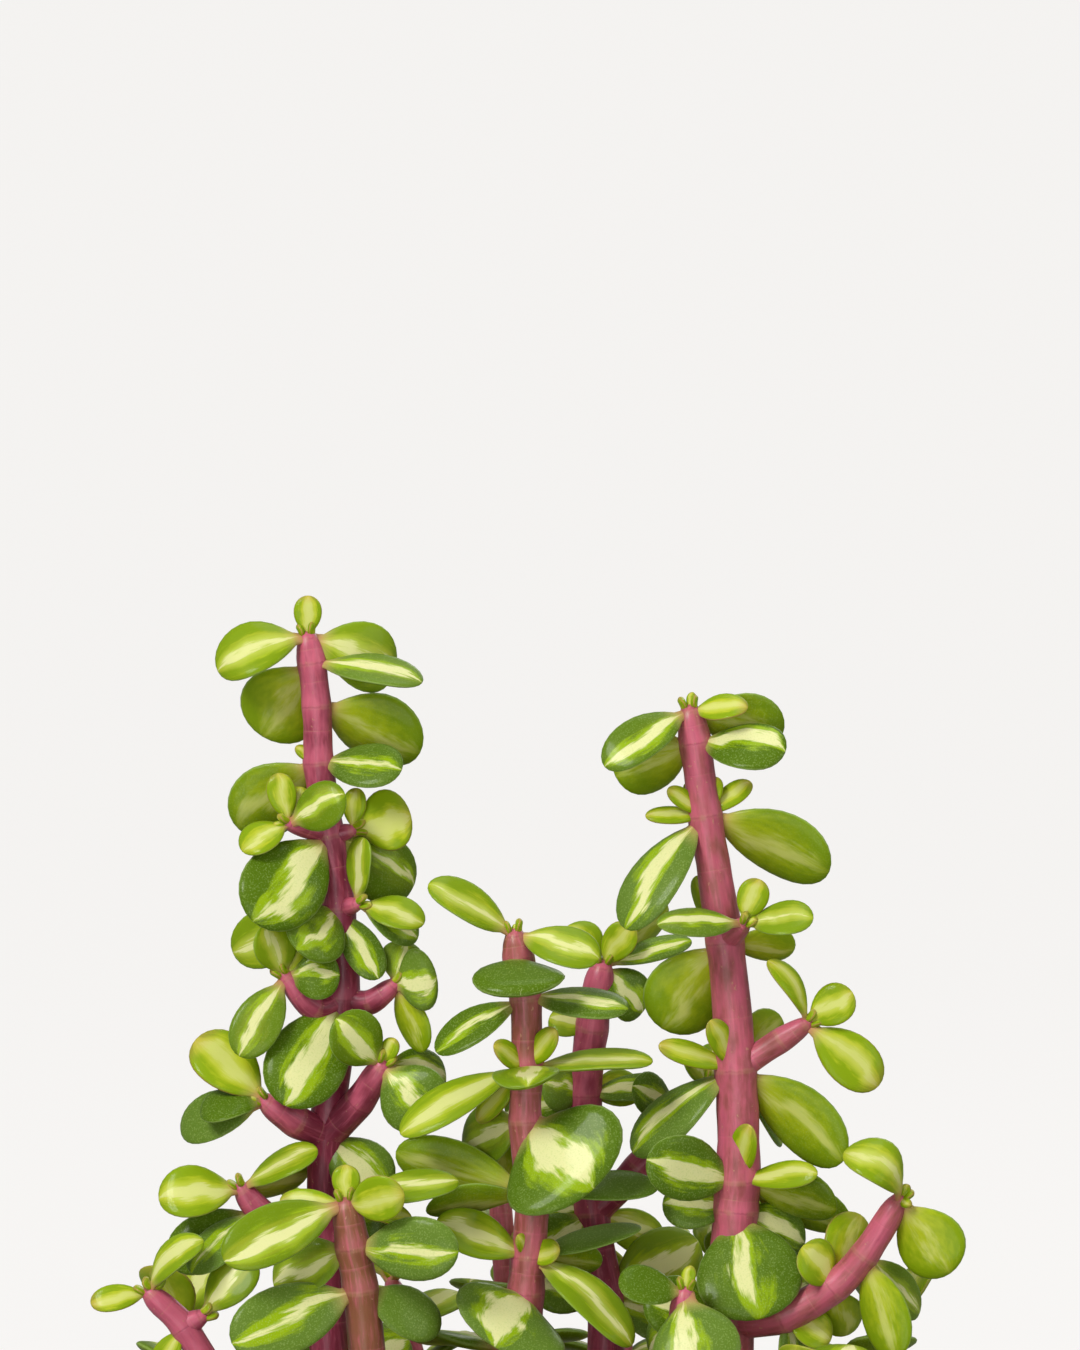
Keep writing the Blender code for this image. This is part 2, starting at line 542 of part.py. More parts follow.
def set_out_bush():
    """The whole bush: every stem, then the leaves that the front shows, then those of the low stems."""
    bush = Bush()
    todo = set_out_stems(bush)
    low = []
    for name, (foot, tip, heading) in LOW_STEMS.items():
        points = low_points(foot, tip)
        axis = with_radii(points, LOW_DIAMETERS)
        bush.add_axis(name, axis)
        low.append((name, points, axis, heading))
    for name, points, path, axis, rows in todo:
        seen_leaves(bush, name, points, path, axis, rows)
    draw = random.Random(SEED)
    for name, points, axis, heading in low:
        low_leaves(bush, name, points, axis, heading, draw)
    return bush


def clear_scene():
    for found in list(bpy.data.objects):
        bpy.data.objects.remove(found, do_unlink=True)


def link(name, mesh):
    made = bpy.data.objects.new(name, mesh)
    bpy.context.scene.collection.objects.link(made)
    return made


def mesh_from(name, points, faces):
    """A mesh in metres from points in millimetres."""
    mesh = bpy.data.meshes.new(name)
    mesh.from_pydata([tuple(point * MM) for point in points], [], faces)
    mesh.validate()
    return mesh


def stem_mesh(name, axis):
    """One stem or side branch: a bevelled curve through its joints, made a mesh with its ends closed."""
    curve = bpy.data.curves.new(name, "CURVE")
    curve.dimensions = "3D"
    curve.bevel_depth = MM
    curve.bevel_resolution = STEM_SIDES_STEP
    curve.use_fill_caps = True
    spline = curve.splines.new("POLY")
    spline.points.add(len(axis) - 1)
    for point, (place, radius) in zip(spline.points, axis):
        point.co = (*(place * MM), 1.0)
        point.radius = radius
    guide = link(name, curve)
    graph = bpy.context.evaluated_depsgraph_get()
    mesh = bpy.data.meshes.new_from_object(guide.evaluated_get(graph))
    bpy.data.objects.remove(guide, do_unlink=True)
    shape = bmesh.new()
    shape.from_mesh(mesh)
    bmesh.ops.remove_doubles(shape, verts=shape.verts[:], dist=1e-6)
    bmesh.ops.recalc_face_normals(shape, faces=shape.faces[:])
    shape.to_mesh(mesh)
    shape.free()
    return mesh


def leaf_mesh(name, leaf):
    points, faces = leaf_surface(leaf, stations_of(leaf), 0.0)
    mesh = mesh_from(name, points, faces)
    shape = bmesh.new()
    shape.from_mesh(mesh)
    bmesh.ops.recalc_face_normals(shape, faces=shape.faces[:])
    shape.to_mesh(mesh)
    shape.free()
    return mesh


def apply_modifiers(made):
    """Puts the evaluated mesh in place of the object's own, with no modifier left."""
    graph = bpy.context.evaluated_depsgraph_get()
    mesh = bpy.data.meshes.new_from_object(made.evaluated_get(graph))
    made.modifiers.clear()
    made.data = mesh


def boolean(made, operation, pieces):
    """One Boolean on a collection that holds the pieces, which are removed once it is applied."""
    group = bpy.data.collections.new(made.name + "_pieces")
    bpy.context.scene.collection.children.link(group)
    for piece in pieces:
        bpy.context.scene.collection.objects.unlink(piece)
        group.objects.link(piece)
        piece.hide_render = True
        piece.display_type = "WIRE"
    cut = made.modifiers.new("pieces", "BOOLEAN")
    cut.operation = operation
    cut.solver = "MANIFOLD"
    cut.operand_type = "COLLECTION"
    cut.collection = group
    apply_modifiers(made)
    for piece in pieces:
        bpy.data.objects.remove(piece, do_unlink=True)
    bpy.data.collections.remove(group)


def make_stem(name, stem):
    """One leafy stem as one solid: its main stem, its side branches and its leaves."""
    made = link(name, stem_mesh(name, stem["axes"][0]))
    pieces = [link(f"{name}_branch", stem_mesh(name, axis)) for axis in stem["axes"][1:]]
    pieces += [link(f"{name}_leaf", leaf_mesh(name, leaf)) for leaf in stem["leaves"]]
    boolean(made, "UNION", pieces)
    return made


def turned_mesh(name, profile, sides):
    """A closed profile of radius and height, turned about the upright axis."""
    shape = bmesh.new()
    rings = []
    for radius, height in profile:
        if radius == 0:
            rings.append([shape.verts.new((0, 0, height * MM))])
            continue
        ring = []
        for step in range(sides):
            angle = 2 * math.pi * step / sides
            place = (math.cos(angle) * radius * MM, math.sin(angle) * radius * MM, height * MM)
            ring.append(shape.verts.new(place))
        rings.append(ring)
    for low, high in zip(rings, rings[1:]):
        for step in range(sides):
            beyond = (step + 1) % sides
            corners = [low[step % len(low)], low[beyond % len(low)]]
            corners += [high[beyond % len(high)], high[step % len(high)]]
            shape.faces.new(list(dict.fromkeys(corners)))
    bmesh.ops.recalc_face_normals(shape, faces=shape.faces[:])
    mesh = bpy.data.meshes.new(name)
    shape.to_mesh(mesh)
    shape.free()
    return mesh


def pot_radius(height):
    """The pot's outer radius below its rim."""
    share = height / POT_HEIGHT
    return POT_FOOT_RADIUS + (POT_TOP_RADIUS - RIM_STEP - POT_FOOT_RADIUS) * share


def make_pot():
    """The pot: a tapered wall, a thicker rolled rim, rounded edges and drain holes in its floor."""
    shoulder = POT_HEIGHT - RIM_HEIGHT
    inner_top = pot_radius(POT_HEIGHT) - POT_WALL + 0.6
    profile = [
        (0, 0),
        (POT_FOOT_RADIUS - EDGE_ROUND, 0),
        (POT_FOOT_RADIUS, EDGE_ROUND),
        (pot_radius(shoulder), shoulder),
        (POT_TOP_RADIUS - EDGE_ROUND, shoulder),
        (POT_TOP_RADIUS, shoulder + EDGE_ROUND),
        (POT_TOP_RADIUS, POT_HEIGHT - EDGE_ROUND),
        (POT_TOP_RADIUS - EDGE_ROUND, POT_HEIGHT),
        (inner_top + EDGE_ROUND, POT_HEIGHT),
        (inner_top, POT_HEIGHT - EDGE_ROUND),
        (pot_radius(POT_FLOOR) - POT_WALL, POT_FLOOR),
        (0, POT_FLOOR),
    ]
    pot = link("pot", turned_mesh("pot", profile, POT_SIDES))
    cutters = []
    for hole in range(DRAIN_HOLES):
        angle = 2 * math.pi * hole / DRAIN_HOLES
        drill = turned_mesh("drain_hole", [(0, -2), (DRAIN_RADIUS, -2), (DRAIN_RADIUS, 8), (0, 8)], 8)
        cutter = link("drain_hole", drill)
        middle = (math.cos(angle) * DRAIN_CIRCLE * MM, math.sin(angle) * DRAIN_CIRCLE * MM, 0)
        cutter.data.transform(Matrix.Translation(middle))
        cutters.append(cutter)
    boolean(pot, "DIFFERENCE", cutters)
    return pot


def inside_radius(height):
    """The radius of the pot's hollow at this height."""
    low = pot_radius(POT_FLOOR) - POT_WALL
    high = pot_radius(POT_HEIGHT) - POT_WALL + 0.6
    return low + (high - low) * (height - POT_FLOOR) / (POT_HEIGHT - EDGE_ROUND - POT_FLOOR)


def make_soil(bush):
    """The soil: a plug a little inside the pot, mounded and lumpy on top, with a plain hole for each stem."""
    low = POT_FLOOR + FIT_GAP
    profile = [(0, low), (inside_radius(low) - FIT_GAP, low)]
    for share in (1.0, 0.66, 0.33):
        height = SOIL_TOP - 1.5 + SOIL_MOUND * (1 - share**2)
        profile.append(((inside_radius(SOIL_TOP) - FIT_GAP) * share, height))
    profile.append((0, SOIL_TOP - 1.5 + SOIL_MOUND))
    soil = link("soil", turned_mesh("soil", profile, POT_SIDES))
    draw = random.Random(SEED + 1)
    edge = inside_radius(SOIL_TOP) * 0.9 * MM
    for vertex in soil.data.vertices:
        if vertex.co.z > 60 * MM and vertex.co.xy.length < edge:
            vertex.co.z += draw.uniform(-0.7, 0.7) * MM
    cutters = []
    for name, stem in bush.stems.items():
        place, radius = stem["axes"][0][0]
        wide = radius * 1.05 + FIT_GAP
        bottom = STEM_FOOT - FIT_GAP
        drill = turned_mesh("stem_hole", [(0, bottom), (wide, bottom), (wide, 95), (0, 95)], 8)
        cutter = link("stem_hole", drill)
        cutter.data.transform(Matrix.Translation((place.x * MM, place.y * MM, 0)))
        cutters.append(cutter)
    boolean(soil, "DIFFERENCE", cutters)
    return soil


def give_material(made, name, colour, roughness):
    """A plain coat of one colour."""
    material = bpy.data.materials.new(name)
    material.use_nodes = True
    surface = material.node_tree.nodes["Principled BSDF"]
    surface.inputs["Base Color"].default_value = (*colour, 1.0)
    surface.inputs["Roughness"].default_value = roughness
    made.data.materials.clear()
    made.data.materials.append(material)


def main():
    clear_scene()
    bush = set_out_bush()
    give_material(make_pot(), "pot_ceramic", (0.72, 0.70, 0.66), 0.6)
    give_material(make_soil(bush), "soil_grit", (0.09, 0.06, 0.045), 0.95)
    for name, stem in bush.stems.items():
        give_material(make_stem(name, stem), f"{name}_plant", (0.32, 0.46, 0.10), 0.45)


main()
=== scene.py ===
"""The looks of a variegated elephant bush in a plain round pot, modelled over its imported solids.

Sizes are millimetres in the named values and rows, and metres in the meshes, settings and stage. The bush is
set out by the same rows and rules as the part's source, so every stem and leaf stands where its solid does.
"""

import math
import random
from contextlib import contextmanager
from types import SimpleNamespace

import bmesh
import bpy
import numpy as np
from mathutils import Matrix, Vector, noise
from mathutils.bvhtree import BVHTree


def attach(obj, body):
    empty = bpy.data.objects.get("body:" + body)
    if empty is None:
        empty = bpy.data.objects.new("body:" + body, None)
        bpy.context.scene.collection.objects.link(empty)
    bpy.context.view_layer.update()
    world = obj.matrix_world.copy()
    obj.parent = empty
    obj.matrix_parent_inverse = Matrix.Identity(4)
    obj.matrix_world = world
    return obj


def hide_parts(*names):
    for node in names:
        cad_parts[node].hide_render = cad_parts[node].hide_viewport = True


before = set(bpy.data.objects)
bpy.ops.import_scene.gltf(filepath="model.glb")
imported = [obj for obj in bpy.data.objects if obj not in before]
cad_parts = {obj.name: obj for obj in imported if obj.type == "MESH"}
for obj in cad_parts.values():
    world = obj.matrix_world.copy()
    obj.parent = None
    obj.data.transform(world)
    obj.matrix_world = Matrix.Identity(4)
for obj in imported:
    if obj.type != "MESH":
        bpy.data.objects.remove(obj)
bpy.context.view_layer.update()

bl_info = {
    "name": "Variegated elephant bush",
    "version": (1, 0, 0),
    "blender": (4, 5, 0),
    "location": "View3D > Sidebar > Bush",
    "description": "Models a cream-striped elephant bush in a plain pot over its packed solids",
    "category": "Object",
}

MM = 0.001
SEED = 11

# The pot, a plain turned one with a thicker rim, a hollow that flares a little towards it, and drain holes
# round the middle of its floor.
POT_HEIGHT = 92.0
POT_TOP_RADIUS = 57.0
POT_FOOT_RADIUS = 41.0
POT_WALL = 3.0
POT_FLOOR = 4.0
POT_SIDES = 96
RIM_HEIGHT = 19.0
RIM_STEP = 3.0
RIM_FLARE = 0.6
EDGE_ROUND = 1.4
DRAIN_HOLES = 5
DRAIN_RADIUS = 4.5
DRAIN_CIRCLE = 25.0

# The soil, which fills the pot to a little under its rim, mounds up to the middle and drops towards its edge.
# Its crumbs have a coarse and a fine pitch, each with its height.
FIT_GAP = 0.35
SOIL_TOP = 83.0
SOIL_MOUND = 2.5
SOIL_DROP = 1.5
SOIL_SIDES, SOIL_RINGS = 96, 22
CRUMBS = ((130.0, 0.9), (420.0, 0.45))

# The bush is set out as it looks from the front: x and z are read on the upright plane through the pot's
# axis, and a point that stands nearer lies on the same line of sight from this eye.
EYE = Vector((0.0, -1200.0, 275.0))
PICTURE_MIDDLE = Vector((1.2, 0.0, 214.25))

# Stems: each stands in the soil from its foot up, a joint swells, and a long stretch between two joints is
# waisted. The tip ends in a small cap.
STEM_FOOT = 62.0
JOINT_SWELL = 1.10
WAIST = 0.95
LONG_STRETCH = 7
TIP_CAP = 1.2
CAP_WIDTH = 0.6

# Leaves: thickness as a share of width, with a least and a most, how much wider than its row a seen leaf is,
# how far its root sinks into the stem, and half the least width and thickness of its ends.
LEAF_THICKNESS = 0.18
LEAF_THIN, LEAF_THICK = 1.1, 2.4
LEAF_FULLNESS = 1.06
ROOT_SINK = 0.8
NECK, THIN_END = 0.95, 0.6

# A blade's outline: where its stalk ends and where it is widest, as shares of its length, and how full its
# wedge and how round its tip is. Its thickness at the ends is a share of that in the middle.
STALK = 0.08
WIDEST = 0.62
WEDGE = 0.9
TIP_ROUND = 2.2
END_FLESH = 0.62

# The width under which a leaf has fewer rings, the clear space between two leaves, the share of its length
# from which a leaf keeps off the others of its own stem, and how much wider than a stem its berth is.
SMALL_LEAF = 5.0
CLEARANCE = 0.45
FREE_FROM = 0.3
STEM_BERTH = 1.2

# How near a leaf may come to the soil and to the pot's rim, and how far inwards the rim counts.
OVER_SOIL, OVER_RIM, RIM_INWARD = 2.5, 0.6, 2

# A stem's path gives x, z and how far it stands towards the front at each joint, from its foot in the soil to
# its tip. A leaf gives, from its joint to its tip: x, z and towards the front; then its width; how far its
# upper face turns to the front, in degrees, or its underside if negative; how far it arches, in degrees; and
# its age, from 0, a lime bud, to 1, an old and plain dark blade.
STEMS = {
    "left_tall": {
        "path": [(-29.5, 62, 4), (-29.5, 84, 4), (-30.5, 108, 4), (-31, 129, 4), (-31, 145, 4),
                 (-28.5, 165.5, 4), (-29, 179, 4), (-30.5, 190, 4), (-32, 201, 4), (-32.3, 209.5, 4),
                 (-33, 216, 4), (-33.6, 219.7, 4)],
        "diameters": (6.8, 4.2),
        "leaves": {
            2: [(-12, 4, -4, 9, 70, 20, 0.7), (12, 6, -5, 9, 70, 20, 0.8)],
            3: [(9, 5, -6, 8, 70, 20, 0.8)],
            4: [(9, -9, 3, 9, 75, 20, 0.7)],
            5: [(-9, -16, 9, 11.5, 85, 20, 0.9)],
            6: [(-6.5, -6, 9, 10, 85, 15, 0.6), (-16, -6.5, -5, 8.5, 75, 20, 0.35),
                (-6.5, -12, 8, 7, 80, 20, 0.8), (6, -10.5, 4, 5.5, 75, 20, 0.75)],
            7: [(-11.5, -12.5, 8, 12, 85, 25, 0.9), (12.5, -8, -5, 10, 70, 25, 0.6)],
            8: [(12.5, -1, 6, 8, 50, 15, 0.85), (-12, -10, -4, 11, -60, 30, 0.6),
                (-3.5, 2.5, 0, 2, 60, 0, 0.1)],
            9: [(15.5, -7, -2, 11.5, -60, 35, 0.5)],
            10: [(-7.5, -11, -4, 12, -75, 25, 0.4), (16.5, -3, 6, 8, 25, 15, 0.6)],
            11: [(-13.5, -5, 2, 9, 45, 60, 0.3), (13, -5, -3, 10, 65, 25, 0.3),
                 (0, 6.5, 0, 4, 80, 5, 0.05)],
        },
        "arms": [
            {"from": 7, "path": [(-36.5, 191.8, 8)], "diameters": (3.0, 2.6), "leaves": {
                1: [(-1.8, 7.7, 0, 4.2, 80, 10, 0.1), (2, 6.5, -1, 3.5, 70, 10, 0.15),
                    (-7, -4, 2, 6, 45, 40, 0.3), (8.5, 4.5, 4, 7, 75, 15, 0.5),
                    (-4, -3, -2, 4, 50, 20, 0.25)]}},
            {"from": 7, "path": [(-27, 190.9, 5)], "diameters": (3.2, 2.8), "leaves": {
                1: [(0.7, 6.4, 0, 3.5, 80, 10, 0.2), (8.8, 2.3, 1, 9, 80, 10, 0.2)]}},
            {"from": 6, "path": [(-26.2, 179.8, 7)], "diameters": (3.2, 2.8), "leaves": {
                1: [(1, 10, 2, 6, 60, 10, 0.3), (10, -3, 3, 6, 45, 20, 0.3), (9, -5.5, 1, 6, 50, 20, 0.7)]}},
            {"from": 5, "path": [(-32.5, 164, 6), (-37, 168.8, 8)], "diameters": (4.0, 3.4), "leaves": {
                2: [(-3, 8, 2, 6.5, 80, 15, 0.3), (2.5, 5, 0, 4, 75, 10, 0.1), (-7, -12, 4, 7, 75, 20, 0.5),
                    (9.8, 2.8, 5, 7, 75, 15, 0.7)]}},
            {"from": 5, "path": [(-24.5, 165, 5), (-20.8, 167.5, 6)], "diameters": (3.8, 3.4), "leaves": {
                2: [(6.5, 1.5, 2, 9, 80, 20, 0.55), (4.5, -10, 0, 5.5, -60, 25, 0.3),
                    (2, 6.5, -1, 6, 70, 15, 0.55)]}},
            {"from": 4, "path": [(-35.5, 147, 7), (-40, 150, 9)], "diameters": (5.0, 4.2), "leaves": {
                2: [(-10.5, 9.5, -3, 8.5, 60, 20, 0.1), (-10, -2.5, 5, 7.5, 35, 40, 1.0),
                    (-13, -4.5, -2, 8, 55, 20, 1.0)]}},
            {"from": 4, "path": [(-26, 150, 7), (-22.5, 155.5, 10)], "diameters": (5.2, 4.2), "leaves": {
                2: [(-7, 7, 4, 8, 85, 15, 0.5), (2, 4, 1, 3, 70, 5, 0.05), (8, -8.5, 4, 10, 85, 20, 0.8),
                    (9.5, -1, -4, 7, 60, 20, 0.8)]}},
            {"from": 3, "path": [(-36, 130.5, 6), (-41, 133.5, 8), (-43.7, 136.7, 9)],
             "diameters": (4.8, 3.8), "leaves": {
                2: [(-13.5, -8, 0, 8.5, 60, 20, 1.0), (-10, -9, 4, 7, 40, 20, 0.9)],
                3: [(-12.5, -1.5, 3, 8, 60, 40, 0.25), (11.5, 6, 2, 6.5, 40, 20, 0.35),
                    (10, 2, -3, 8, -60, 20, 0.3)]}},
        ],
    },
    "left_front": {
        "path": [(-23.5, 62, 22), (-23.5, 84, 22), (-24, 101, 22.5), (-25.8, 121.5, 24), (-27, 128, 24.5),
                 (-28, 134.5, 25)],
        "diameters": (7.6, 4.8),
        "leaves": {
            2: [(-13, 3, 4, 9, 60, 20, 0.5), (18, 2, 3, 7, 30, 15, 0.6)],
            3: [(-19.5, -8, 7, 10, 75, 20, 0.8), (12, -6, -2, 8, 60, 20, 1.0)],
            4: [(-12, -6, -1, 9, 65, 25, 0.45), (16, -0.5, 6, 9, 75, 15, 0.85)],
            5: [(-18.5, -8.5, 8, 8.5, 60, 25, 0.45), (-10, 0.5, -2, 3.5, 60, 20, 0.15),
                (8.8, 1.5, 5, 6.5, 80, 20, 0.15), (0, 6, -1, 4, 80, 10, 0.05),
                (17, 3.5, -3, 7, 25, 10, 0.4), (10, -3, 2, 4, 50, 20, 0.15)],
        },
    },
    "left_low": {
        "path": [(-37, 62, 12), (-37, 84, 12), (-41, 97, 13), (-47, 107, 14), (-52.5, 116, 15),
                 (-57.5, 121, 16)],
        "diameters": (4.9, 4.0),
        "leaves": {
            4: [(-4, -7, 0, 4, 60, 10, 0.1)],
            5: [(-9, -1.5, 1, 4, 60, 20, 0.1), (8.1, 8, 2, 6.5, 35, 60, 0.3), (2, 3, 0, 2.5, 60, 10, 0.3)],
        },
        "arms": [
            {"from": 4, "path": [(-49.8, 117.5, 15.5)], "diameters": (3.8, 3.5), "leaves": {
                1: [(8, 8.5, 1, 7, 60, 20, 0.4)]}},
        ],
    },
    "centre": {
        "path": [(-1, 62, 15), (-1, 84, 15), (-1, 104, 15), (-1, 121, 15), (-0.5, 126.5, 15), (0, 136, 15),
                 (-1, 147, 15), (-0.8, 155, 15), (-1, 165.5, 15), (-2, 171.5, 15), (-2.6, 175, 15)],
        "diameters": (6.4, 4.5),
        "leaves": {
            3: [(-4.5, -8.2, 12, 17, 88, 12, 0.8)],
            4: [(-14, 5.2, 4, 7, 55, 15, 0.35), (15.5, -13.5, 7, 7, 40, 45, 0.35),
                (4.7, 1, 4, 4, 60, 10, 0.1), (-1.7, 3.3, 3, 2.5, 60, 10, 0.1),
                (17, 4.5, 0, 5.5, 35, 10, 1.0), (11, -1.5, -2, 6, -60, 15, 0.6)],
            5: [(-16, -2.5, 1, 7, -40, 15, 0.6), (19, 1, 2, 6, 30, 15, 1.0),
                (-20.5, 6.5, -3, 8, -75, 15, 0.5)],
            6: [(10, -10.5, 10, 19.5, 88, 12, 0.85), (-9.5, -4, -6, 9, 70, 20, 0.5)],
            7: [(-19, -10, 4, 7, 35, 25, 0.3), (19, 1, 3, 7, 20, 10, 0.35), (-5, 3.4, 5, 4, 60, 10, 0.02),
                (4.5, 5.8, 4, 4, 60, 10, 0.02), (0, -2.5, 9, 9.5, 60, 10, 0.35),
                (-7.5, -8, -3, 4, 60, 15, 0.1)],
            8: [(-13.5, -8, 1, 6.5, 40, 15, 0.8), (15.5, -1.5, 3, 8, 35, 15, 0.95)],
            9: [(0, -5.5, 10.5, 13, 88, 10, 1.0)],
            10: [(-13, 7.8, 2, 7.5, 50, 20, 0.3), (12.7, -3.6, 4, 7.5, 50, 20, 0.4),
                 (0.5, 1.8, 0, 1.5, 60, 0, 0.1)],
        },
    },
    "centre_back": {
        "path": [(11, 62, -6), (11, 84, -6), (11, 103, -6), (11, 120, -7), (9, 133, -8), (8, 151, -8),
                 (9, 161, -7), (10.5, 170.3, -6)],
        "diameters": (6.6, 4.8),
        "leaves": {
            3: [(14, 9, -2, 10, 70, 15, 0.45), (-11, 4, 1, 9, 70, 15, 0.6), (13, -4, 2, 9, 60, 15, 0.7)],
            4: [(11, -5, -1, 6.5, 70, 20, 0.3), (-9, 3, 1, 8, 70, 15, 0.7), (-10, -7, 2, 8, 60, 20, 0.7)],
            5: [(-12, -3, 0, 8, 70, 20, 0.6), (8.5, 1.5, -3, 6, 60, 15, 0.2),
                (12, 1.5, 1, 5.5, 40, 10, 0.8), (-6.5, 2, 1, 7, 75, 15, 0.6)],
            6: [(-6.5, 1.5, -1, 5, 60, 15, 0.3)],
            7: [(4.5, 6.5, 1, 5, 70, 10, 0.15), (-5.5, 6, -2, 7, 60, 30, 0.3), (10, 9, -2, 8, -60, 20, 0.3),
                (13.5, 4, -3, 4, 50, 15, 0.9), (6, -7, -2, 8, 65, 20, 0.6)],
        },
        "arms": [
            {"from": 4, "path": [(16, 140, -7), (22, 148, -6), (26, 152.5, -5)],
             "diameters": (4.8, 3.8), "leaves": {
                2: [(-7, 5, 1, 7, 60, 15, 0.7)],
                3: [(3, 6, -2, 6, 60, 20, 0.4), (-3, 6, 0, 5, 60, 20, 0.3)]}},
        ],
    },
    "right_tall": {
        "path": [(30, 62, 12), (30, 84, 12), (30, 103, 12), (29.8, 117, 12), (30.6, 133.5, 12),
                 (31, 138, 12), (30.7, 154.8, 12), (29, 174, 12), (26, 193, 12), (24.5, 204, 12),
                 (23.7, 208.7, 12)],
        "diameters": (9.0, 4.6),
        "leaves": {
            3: [(-13, 3, 2, 9, 75, 15, 0.8), (-12, -6, 4, 10, 70, 20, 0.8), (13, 5, -5, 9, 70, 20, 0.6)],
            4: [(10.5, -5, -3, 8, 60, 20, 0.6), (3.5, -16.5, 9, 15, 88, 12, 0.95),
                (-11, 1, 0, 7, 60, 20, 0.8)],
            5: [(-13.8, 3.2, 9, 9.2, 75, 15, 0.8), (1.8, 8.5, 5, 4.5, 75, 10, 0.05),
                (12, 1, 8, 4.5, 50, 15, 0.2), (15, -4.5, 6, 8, -60, 25, 0.7),
                (17, -8.5, 2, 7.5, -50, 20, 0.6)],
            6: [(16, -14, 2, 10, -60, 35, 0.55), (-15.5, -13, 2, 8.5, 40, 20, 0.9),
                (-11.7, 3.7, 3, 3.8, 60, 10, 0.05), (-4, 7.6, 3, 4, 70, 10, 0.15),
                (7, -11.5, -8, 5, 50, 15, 0.95), (7, 7.5, -5, 7.5, -70, 20, 0.35)],
            7: [(10.5, -1, -3, 6.5, -50, 15, 0.3), (-4.5, 10, -3, 5, -70, 15, 0.3),
                (-9.5, -13, -3, 12, -80, 15, 0.5)],
            8: [(18.7, -8.3, 1, 11, -65, 35, 0.5), (-12, -17, 5, 8.5, 50, 25, 0.75),
                (-9, 0, 2, 3.3, 50, 10, 0.12), (-5.7, 4.2, 1, 3, 60, 10, 0.12),
                (-2.7, 4.8, 2, 2.5, 60, 5, 0.12), (1.8, 6, -1, 3, 70, 10, 0.12),
                (7, 5, 1, 3.5, 60, 10, 0.12)],
            9: [(-12, -5, -1, 10, -70, 25, 0.45), (13.5, -1.5, 6, 9, 42, 15, 0.9)],
            10: [(-12.8, -8.3, 6, 7, 60, 40, 0.55), (8.7, 0.6, 3, 5, 50, 15, 0.08),
                 (0.4, 3, 0, 1.5, 60, 0, 0.1), (14, -3.5, -2, 9, -60, 25, 0.6)],
        },
        "arms": [
            {"from": 7, "path": [(31.8, 176.8, 17)], "diameters": (3.8, 3.2), "leaves": {
                1: [(2.3, 6.8, 0, 4.5, 80, 10, 0.1), (10.5, 0.8, 3, 6.5, 50, 15, 0.4),
                    (-13, 0, 4, 6, 45, 15, 0.6)]}},
            {"from": 6, "path": [(37.5, 159.3, 13), (41.2, 161.7, 14)], "diameters": (4.1, 3.4), "leaves": {
                2: [(-5.8, 9.6, 1, 4.5, 45, 60, 0.15), (7, 4.8, 1, 6, 75, 10, 0.15),
                    (11, -9.3, 1, 7.5, 70, 25, 0.2)]}},
            {"from": 3, "path": [(38, 117.8, 16), (45.4, 122, 18), (50, 126.8, 19), (55.2, 135, 20)],
             "diameters": (6.0, 3.8), "leaves": {
                1: [(2, -9, -2, 7, 60, 20, 0.7), (7, -4, 0, 6, 60, 15, 0.2)],
                2: [(4, 11, -5, 7.5, -70, 20, 0.2), (-5, 7, -5, 7, 60, 15, 0.2),
                    (2, -8, -3, 6.5, -60, 15, 0.2)],
                3: [(5, -15.5, 3, 7.5, -75, 15, 0.35), (8.5, -9.5, -3, 6, 65, 20, 0.5)],
                4: [(-8.2, 7.5, 1, 8, 50, 110, 0.3), (7.8, -11, 1, 10, -75, 15, 0.35),
                    (1.5, 2.5, 0, 1.6, 60, 0, 0.0), (1.8, -0.5, 1, 1.5, 60, 0, 0.0)]}},
        ],
    },
    "right_front": {
        "path": [(20, 62, 22), (20, 84, 22), (21, 103, 23), (23, 121, 24)],
        "diameters": (5.0, 4.0),
        "leaves": {
            3: [(3, -14, 8, 12.5, 85, 15, 0.85), (-10, 1.5, 3, 7, 50, 15, 1.0),
                (1, 4.2, 0, 2.2, 75, 5, 0.15)],
        },
    },
}

# Low stems fill the back, the sides and the front under the tall ones. Each gives the x and the distance
# towards the front of its foot, then x, z and the distance towards the front of its tip, all real, and the
# heading of its first pair of leaves in degrees.
LOW_STEMS = {
    "back_left": ((-24.0, -22.0), (-33.0, 126.0, -31.0), 20.0),
    "back_middle": ((-3.0, -30.0), (-5.0, 132.0, -37.0), 75.0),
    "back_right": ((24.0, -23.0), (33.0, 127.0, -31.0), 10.0),
    "back_far_left": ((-16.0, -39.0), (-22.0, 116.0, -52.0), 50.0),
    "back_far_right": ((12.0, -41.0), (16.0, 117.0, -54.0), 100.0),
    "side_left": ((-41.0, -8.0), (-53.0, 114.0, -12.0), 60.0),
    "side_right": ((42.0, -6.0), (54.0, 115.0, -10.0), 30.0),
    "front_left": ((-13.0, 37.0), (-18.0, 110.0, 47.0), 45.0),
    "front_right": ((10.0, 38.0), (13.0, 109.0, 48.0), 0.0),
    "front_far_right": ((34.0, 28.0), (42.0, 109.0, 36.0), 70.0),
}
LOW_JOINT_STEP = 7.5
LOW_BOW = 0.5
LOW_DIAMETERS = (4.8, 3.5)
LOW_BUD_LENGTH, LOW_BUD_WIDTH = 4.5, 2.4

